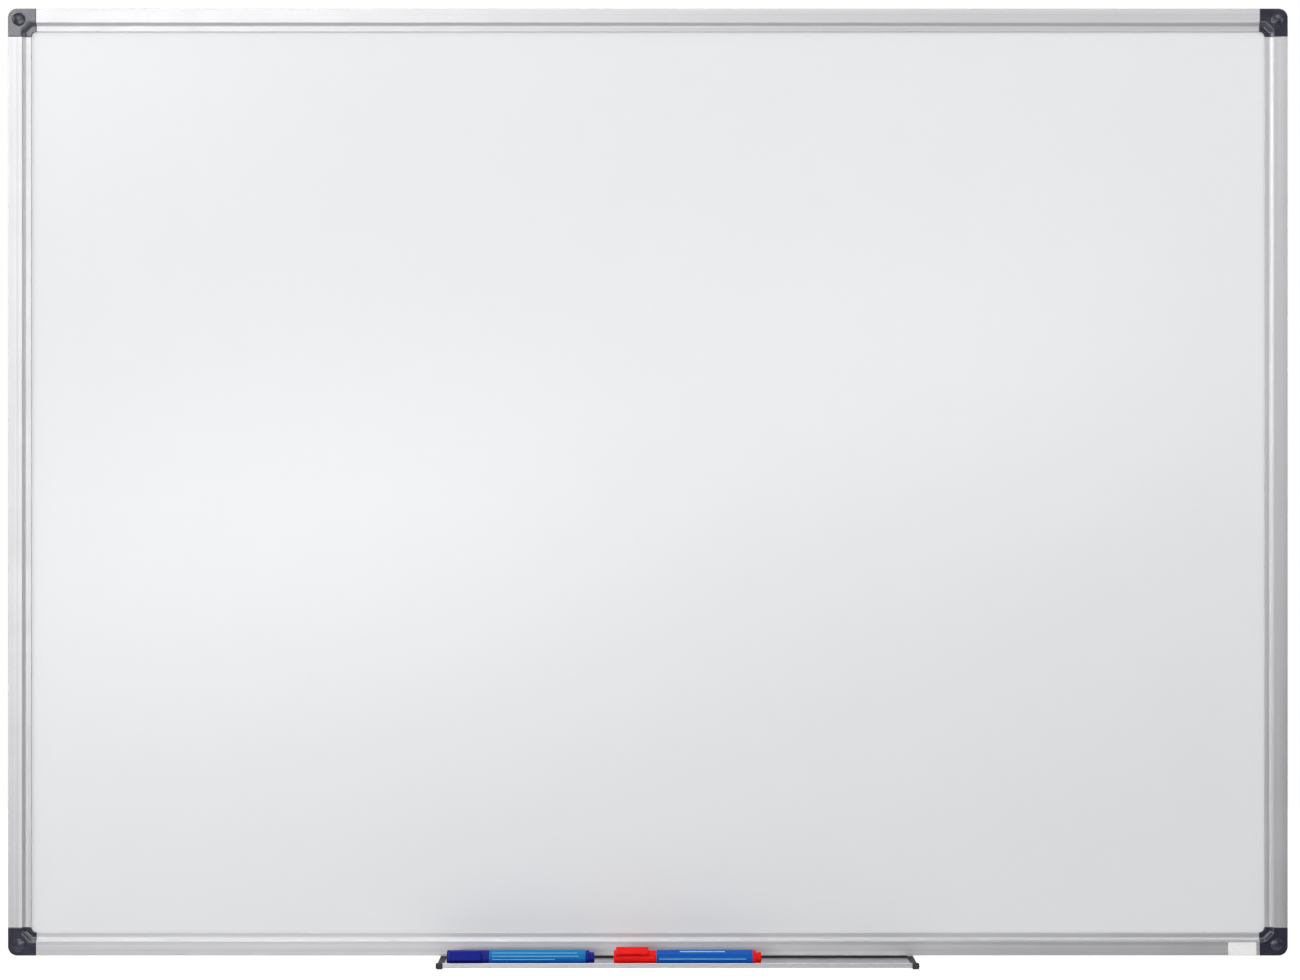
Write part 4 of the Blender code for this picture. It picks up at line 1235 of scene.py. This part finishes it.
def marker_profiles(length):
    """Each turned piece's profile of corners (radius, height from the cap's end, rounding)."""
    barrel_start = marker_cap_length + fit_gap
    barrel_end = length - marker_tail_length
    bore = marker_barrel_radius - marker_wall
    neck_bore = neck_radius - neck_wall
    neck_start = barrel_start - neck_length
    cap_bore = neck_radius + fit_gap
    sleeve_inner = marker_barrel_radius + sleeve_gap
    sleeve_outer = sleeve_inner + sleeve_wall
    nib_tip = marker_cap_end + nib_gap
    flange_top = neck_start - fit_gap
    flange = neck_radius - fit_gap
    holder_bore = nib_radius + fit_gap
    holder_end = flange_top + tip_socket
    reservoir_start = barrel_start + neck_socket + fit_gap
    collar_start = barrel_end + fit_gap
    collar_end = collar_start + tail_collar_length
    collar = marker_barrel_radius - tail_step / 2
    stem = bore - fit_gap
    stem_start = barrel_end - tail_stem_length
    dimple = marker_cap_radius / 2
    return {
        "cap": [
            (0, marker_cap_end, 0),
            (cap_bore, marker_cap_end, soft_edge),
            (cap_bore, marker_cap_length, fine_edge),
            (marker_cap_radius, marker_cap_length, soft_edge),
            (marker_cap_radius, 0, 3 * soft_edge),
            (dimple, 0, soft_edge),
            (dimple - soft_edge, soft_edge, soft_edge),
            (0, soft_edge, 0),
        ],
        "barrel": [
            (marker_barrel_radius, barrel_end, fine_edge),
            (marker_barrel_radius, barrel_start, soft_edge),
            (neck_radius, barrel_start, soft_edge),
            (neck_radius, neck_start, fine_edge),
            (neck_bore, neck_start, fine_edge),
            (neck_bore, barrel_start + neck_wall, 0),
            (bore, barrel_start + neck_socket, 0),
            (bore, barrel_end, fine_edge),
        ],
        "label_sleeve": [
            (sleeve_outer, barrel_end - sleeve_inset, sleeve_gap),
            (sleeve_outer, barrel_start + sleeve_inset, sleeve_gap),
            (sleeve_inner, barrel_start + sleeve_inset, 0),
            (sleeve_inner, barrel_end - sleeve_inset, 0),
        ],
        "tip_holder": [
            (neck_bore - fit_gap, holder_end, fine_edge),
            (neck_bore - fit_gap, flange_top, 0),
            (flange, flange_top, fine_edge),
            (flange, flange_top - tip_flange, 2 * soft_edge),
            (holder_bore + tip_nose_wall, nib_tip + nib_out, fine_edge),
            (holder_bore, nib_tip + nib_out, fine_edge),
            (holder_bore, holder_end, fine_edge),
        ],
        "nib": [
            (0, reservoir_start - fit_gap, 0),
            (nib_radius, reservoir_start - fit_gap, fine_edge),
            (nib_radius, nib_tip + nib_point, 3 * soft_edge),
            (nib_radius / 2, nib_tip, 2 * soft_edge),
            (0, nib_tip, 0),
        ],
        "tail_plug": [
            (0, length, 0),
            (tail_end_radius, length, 3 * soft_edge),
            (tail_end_radius, collar_end + tail_step, soft_edge),
            (collar, collar_end, 2 * soft_edge),
            (collar, collar_start, fine_edge),
            (stem, collar_start, 0),
            (stem, stem_start, soft_edge),
            (0, stem_start, 0),
        ],
    }


def make_marker(colour):
    """A dry-wipe marker lying in the tray: turned pieces, and a clip joined to the cap."""
    place = marker_place(colour)
    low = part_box(f"{colour}_marker_cap")[0].x
    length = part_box(f"{colour}_marker_tail_plug")[1].x - low
    finishes = {
        "cap": (plastic[f"{colour}_plastic"], f"{colour}_plastic"),
        "barrel": (plastic["pale_plastic"], "pale_plastic"),
        "label_sleeve": (printed_film(colour), "blue_label_film"),
        "tip_holder": (plastic["black_plastic"], "black_plastic"),
        "nib": (felt[f"{colour}_nib_felt"], f"{colour}_nib_felt"),
        "tail_plug": (plastic[f"{colour}_plastic"], f"{colour}_plastic"),
    }
    for part, corners in marker_profiles(length).items():
        node = f"{colour}_marker_{part}"
        piece = turned(f"{node}_turning", rounded(corners), place)
        if part == "cap":
            half = clip_width / 2
            clip = plate("clip", clip_outline(), -half, half, clip_edge, place @ upright_place())
            combine(piece, clip, "UNION")
        body = f"{colour}_cap" if part == "cap" else f"{colour}_barrel"
        dress(piece, finishes[part][0], body, finishes[part][1], node)
    refinish(f"{colour}_marker_ink_reservoir", felt["ink_fibre"])


# Finishes

anodised_dark = srgb(188, 188, 191)
anodised_light = srgb(210, 210, 212)
bare_metal = srgb(236, 236, 237)
film_blue = srgb(0, 80, 170)
film_cyan = srgb(0, 117, 171)
film_line = srgb(122, 198, 230)
cap_dark = srgb(32, 32, 53)
cap_worn = srgb(86, 86, 102)
felt_stretch = (500.0, 5200.0, 5200.0)

# Each plastic's colour, worn colour, roughness, gloss, relief, grain cells per metre and wear
plastics = {
    "anthracite_plastic": (cap_dark, cap_worn, 0.20, 1.0, satin_relief),
    "screw_cover_plastic": (cap_dark, cap_worn, 0.31, 0.8, satin_relief),
    "dark_grey_plastic": (srgb(58, 58, 62), srgb(92, 92, 96), 0.55, 0.2),
    # Near-black partly as painted shade: the glide strip stands in for the dark gap under the bottom rail.
    "black_strip": (srgb(30, 30, 31), srgb(60, 60, 60), 0.62),
    "black_plastic": (srgb(28, 28, 30), srgb(60, 60, 60), 0.4),
    "pale_plastic": (srgb(222, 226, 230), srgb(236, 238, 240), 0.3, 0.5, fine_relief),
    "blue_plastic": (srgb(12, 26, 134), srgb(40, 56, 156), 0.34, 0.14, marker_relief, 1600.0, 0.4),
    "red_plastic": (srgb(236, 14, 10), srgb(240, 52, 44), 0.34, 0.14, marker_relief, 1600.0, 0.4),
}
plastic = {name: moulded_plastic(f"{name}_finish", *values) for name, values in plastics.items()}
felts = {
    "ink_fibre": (srgb(196, 196, 196), srgb(232, 232, 230)),
    "blue_nib_felt": (srgb(18, 26, 96), srgb(44, 56, 140)),
    "red_nib_felt": (srgb(120, 16, 14), srgb(176, 40, 34)),
}
felt = {
    name: fibrous(f"{name}_finish", felt_stretch, *tones, felt_relief, Roughness=0.95)
    for name, tones in felts.items()
}
kraft_tones = (srgb(141, 108, 74), srgb(182, 147, 108))
kraft = fibrous("honeycomb_board_finish", (300.0, 300.0, 1800.0), *kraft_tones, kraft_relief, Roughness=0.9)
paper_tones = (srgb(238, 239, 238), srgb(247, 247, 246))
paper = fibrous("blank_paper_finish", (700.0, 700.0, 2200.0), *paper_tones, paper_relief, (0.42, 0.52))
anodised_across = anodised_metal("anodised_across_finish", (3.0, 1400.0, 1400.0))
anodised_upright = anodised_metal("anodised_upright_finish", (1400.0, 1400.0, 3.0))
zinc_finish = zinc_plate()

# Pieces

refinish("writing_sheet", lacquered_steel())
refinish("core_board", kraft)
refinish("back_sheet", spangled_steel())
make_rails()
make_corner_caps()
make_screw_covers()
make_screws()
make_label()
make_tray()
make_tray_ends()
make_marker("blue")
make_marker("red")


# Studio, with the ranges of Y over which mirrored rays see the floor and the backdrop fade in

floor_height = -1.35
floor_half_width = 9.0
floor_lift = 0.95
near_floor_gloss = 0.14
near_floor = (-2.6, -1.6)
floor_behind = (-0.5, 0.5)
backdrop_heading = (-0.2, 0.1)
fill_strength = 0.12
camera_spot = (0.002, -2.616, -0.0074)
camera_lens = 76.8
camera_sensor_width = 36.0
strip_roll = math.radians(9.5)

# Each lamp's name, spot, target, width, height, watts and roll
lamps = (
    ("top_left_lamp", (-0.9, -2.0, 1.25), (-0.1, 0, 0.1), 1.4, 0.6, 9.6),
    ("top_right_lamp", (1.1, -1.4, 1.3), (0.2, 0, 0.2), 0.8, 0.6, 6.2),
    ("right_lamp", (2.6, -1.2, 0.7), (0.1, 0, 0.2), 1.0, 1.4, 11.5),
    ("left_strip_lamp", (-0.72, -3.0, -0.09), (-0.33, 0, -0.04), 1.3, 0.35, 16.6, strip_roll),
    ("right_strip_lamp", (0.60, -3.0, 0.22), (0.28, 0, 0.10), 1.2, 0.3, 8.8, strip_roll),
    ("ceiling_lamp", (-0.6, -0.9, 3.2), (0, 0, -0.2), 2.6, 1.0, 35.0),
    ("left_lamp", (-4.2, -1.5, 1.2), (0.3, 0, 0), 1.4, 2.4, 72.0),
    ("corner_lamp", (-1.17, -2.6, 0.865), (-0.585, 0, 0.43), 0.45, 0.45, 3.5),
    ("highlight_lamp", (-1.73, -2.6, 1.6), (0, 0, 0), 0.4, 0.4, 3.0),
    ("back_lamp", (0.8, 2.6, 1.2), (0, 0, 0), 1.6, 1.6, 16.0),
)


def shown(tree, mirrored):
    """1 for rays from the camera or through glass, and for mirrored rays the given share."""
    path = put(tree, "ShaderNodeLightPath").outputs
    straight = sums(tree, "MAXIMUM", path["Is Camera Ray"], path["Is Transmission Ray"])
    return sums(tree, "MAXIMUM", straight, sums(tree, "MULTIPLY", path["Is Glossy Ray"], mirrored))


def make_floor():
    """A plain pale floor: a diffuse surface that the camera and mirrors see lifted to white.

    Mirrors see it so behind the board, where it is part of the backdrop, and dimmer below it.
    """
    half = floor_half_width
    mesh = bpy.data.meshes.new("floor")
    corners = [(-half, -half), (half, -half), (half, half), (-half, half)]
    mesh.from_pydata([(x, y, floor_height) for x, y in corners], [], [(0, 1, 2, 3)])
    floor = placed("floor", mesh)
    material, tree, spot = new_finish("floor_finish", Base_Color=srgb(226, 226, 226), Roughness=0.9)
    depth = put(tree, "ShaderNodeSeparateXYZ", {0: spot}).outputs["Y"]
    near = spread(tree, depth, *near_floor, 0.0, near_floor_gloss)
    behind = spread(tree, depth, *floor_behind, 0.0, 1.0 - near_floor_gloss)
    lift = sums(tree, "MULTIPLY", shown(tree, sums(tree, "ADD", near, behind)), floor_lift)
    shader = tree.nodes["Principled BSDF"]
    shader.inputs["Emission Color"].default_value = (1, 1, 1, 1)
    tree.links.new(lift, shader.inputs["Emission Strength"])
    mesh.materials.append(material)


def make_world():
    """Even soft light, with a white backdrop behind the board that the camera and mirrors see.

    A glossy ray meets the backdrop where it heads to +Y, and the dim studio behind the camera
    where it heads to -Y. Camera and transmission rays meet white all round.
    """
    world = bpy.data.worlds.new("studio")
    bpy.context.scene.world = world
    world.use_nodes = True
    tree = world.node_tree
    background = tree.nodes["Background"]
    background.inputs["Color"].default_value = (1, 1, 1, 1)
    direction = put(tree, "ShaderNodeTexCoord").outputs["Generated"]
    heading = put(tree, "ShaderNodeSeparateXYZ", {0: direction}).outputs["Y"]
    seen = shown(tree, spread(tree, heading, *backdrop_heading))
    strength = spread(tree, seen, 0.0, 1.0, fill_strength, 1.0)
    tree.links.new(strength, background.inputs["Strength"])


def make_lamp(name, spot, target, width, height, watts, roll=0.0):
    """A soft area lamp at a spot, facing a target, that the camera doesn't see."""
    lamp = bpy.data.lights.new(name, "AREA")
    lamp.shape = "RECTANGLE"
    lamp.size = width
    lamp.size_y = height
    lamp.energy = watts
    holder = placed(name, lamp)
    facing = Vector(target) - Vector(spot)
    holder.rotation_mode = "QUATERNION"
    holder.rotation_quaternion = facing.to_track_quat("-Z", "Y") @ Quaternion((0, 0, 1), roll)
    holder.location = spot
    holder.visible_camera = False


def make_camera():
    """A camera square to the board, a little below its middle, as the photograph's framing asks."""
    lens = bpy.data.cameras.new("camera")
    lens.sensor_width = camera_sensor_width
    lens.lens = camera_lens
    camera = placed("camera", lens)
    camera.location = camera_spot
    camera.rotation_euler = (math.pi / 2, 0, 0)
    bpy.context.scene.camera = camera


make_floor()
make_world()
for lamp_settings in lamps:
    make_lamp(*lamp_settings)
make_camera()
bpy.context.scene.view_settings.view_transform = "Standard"
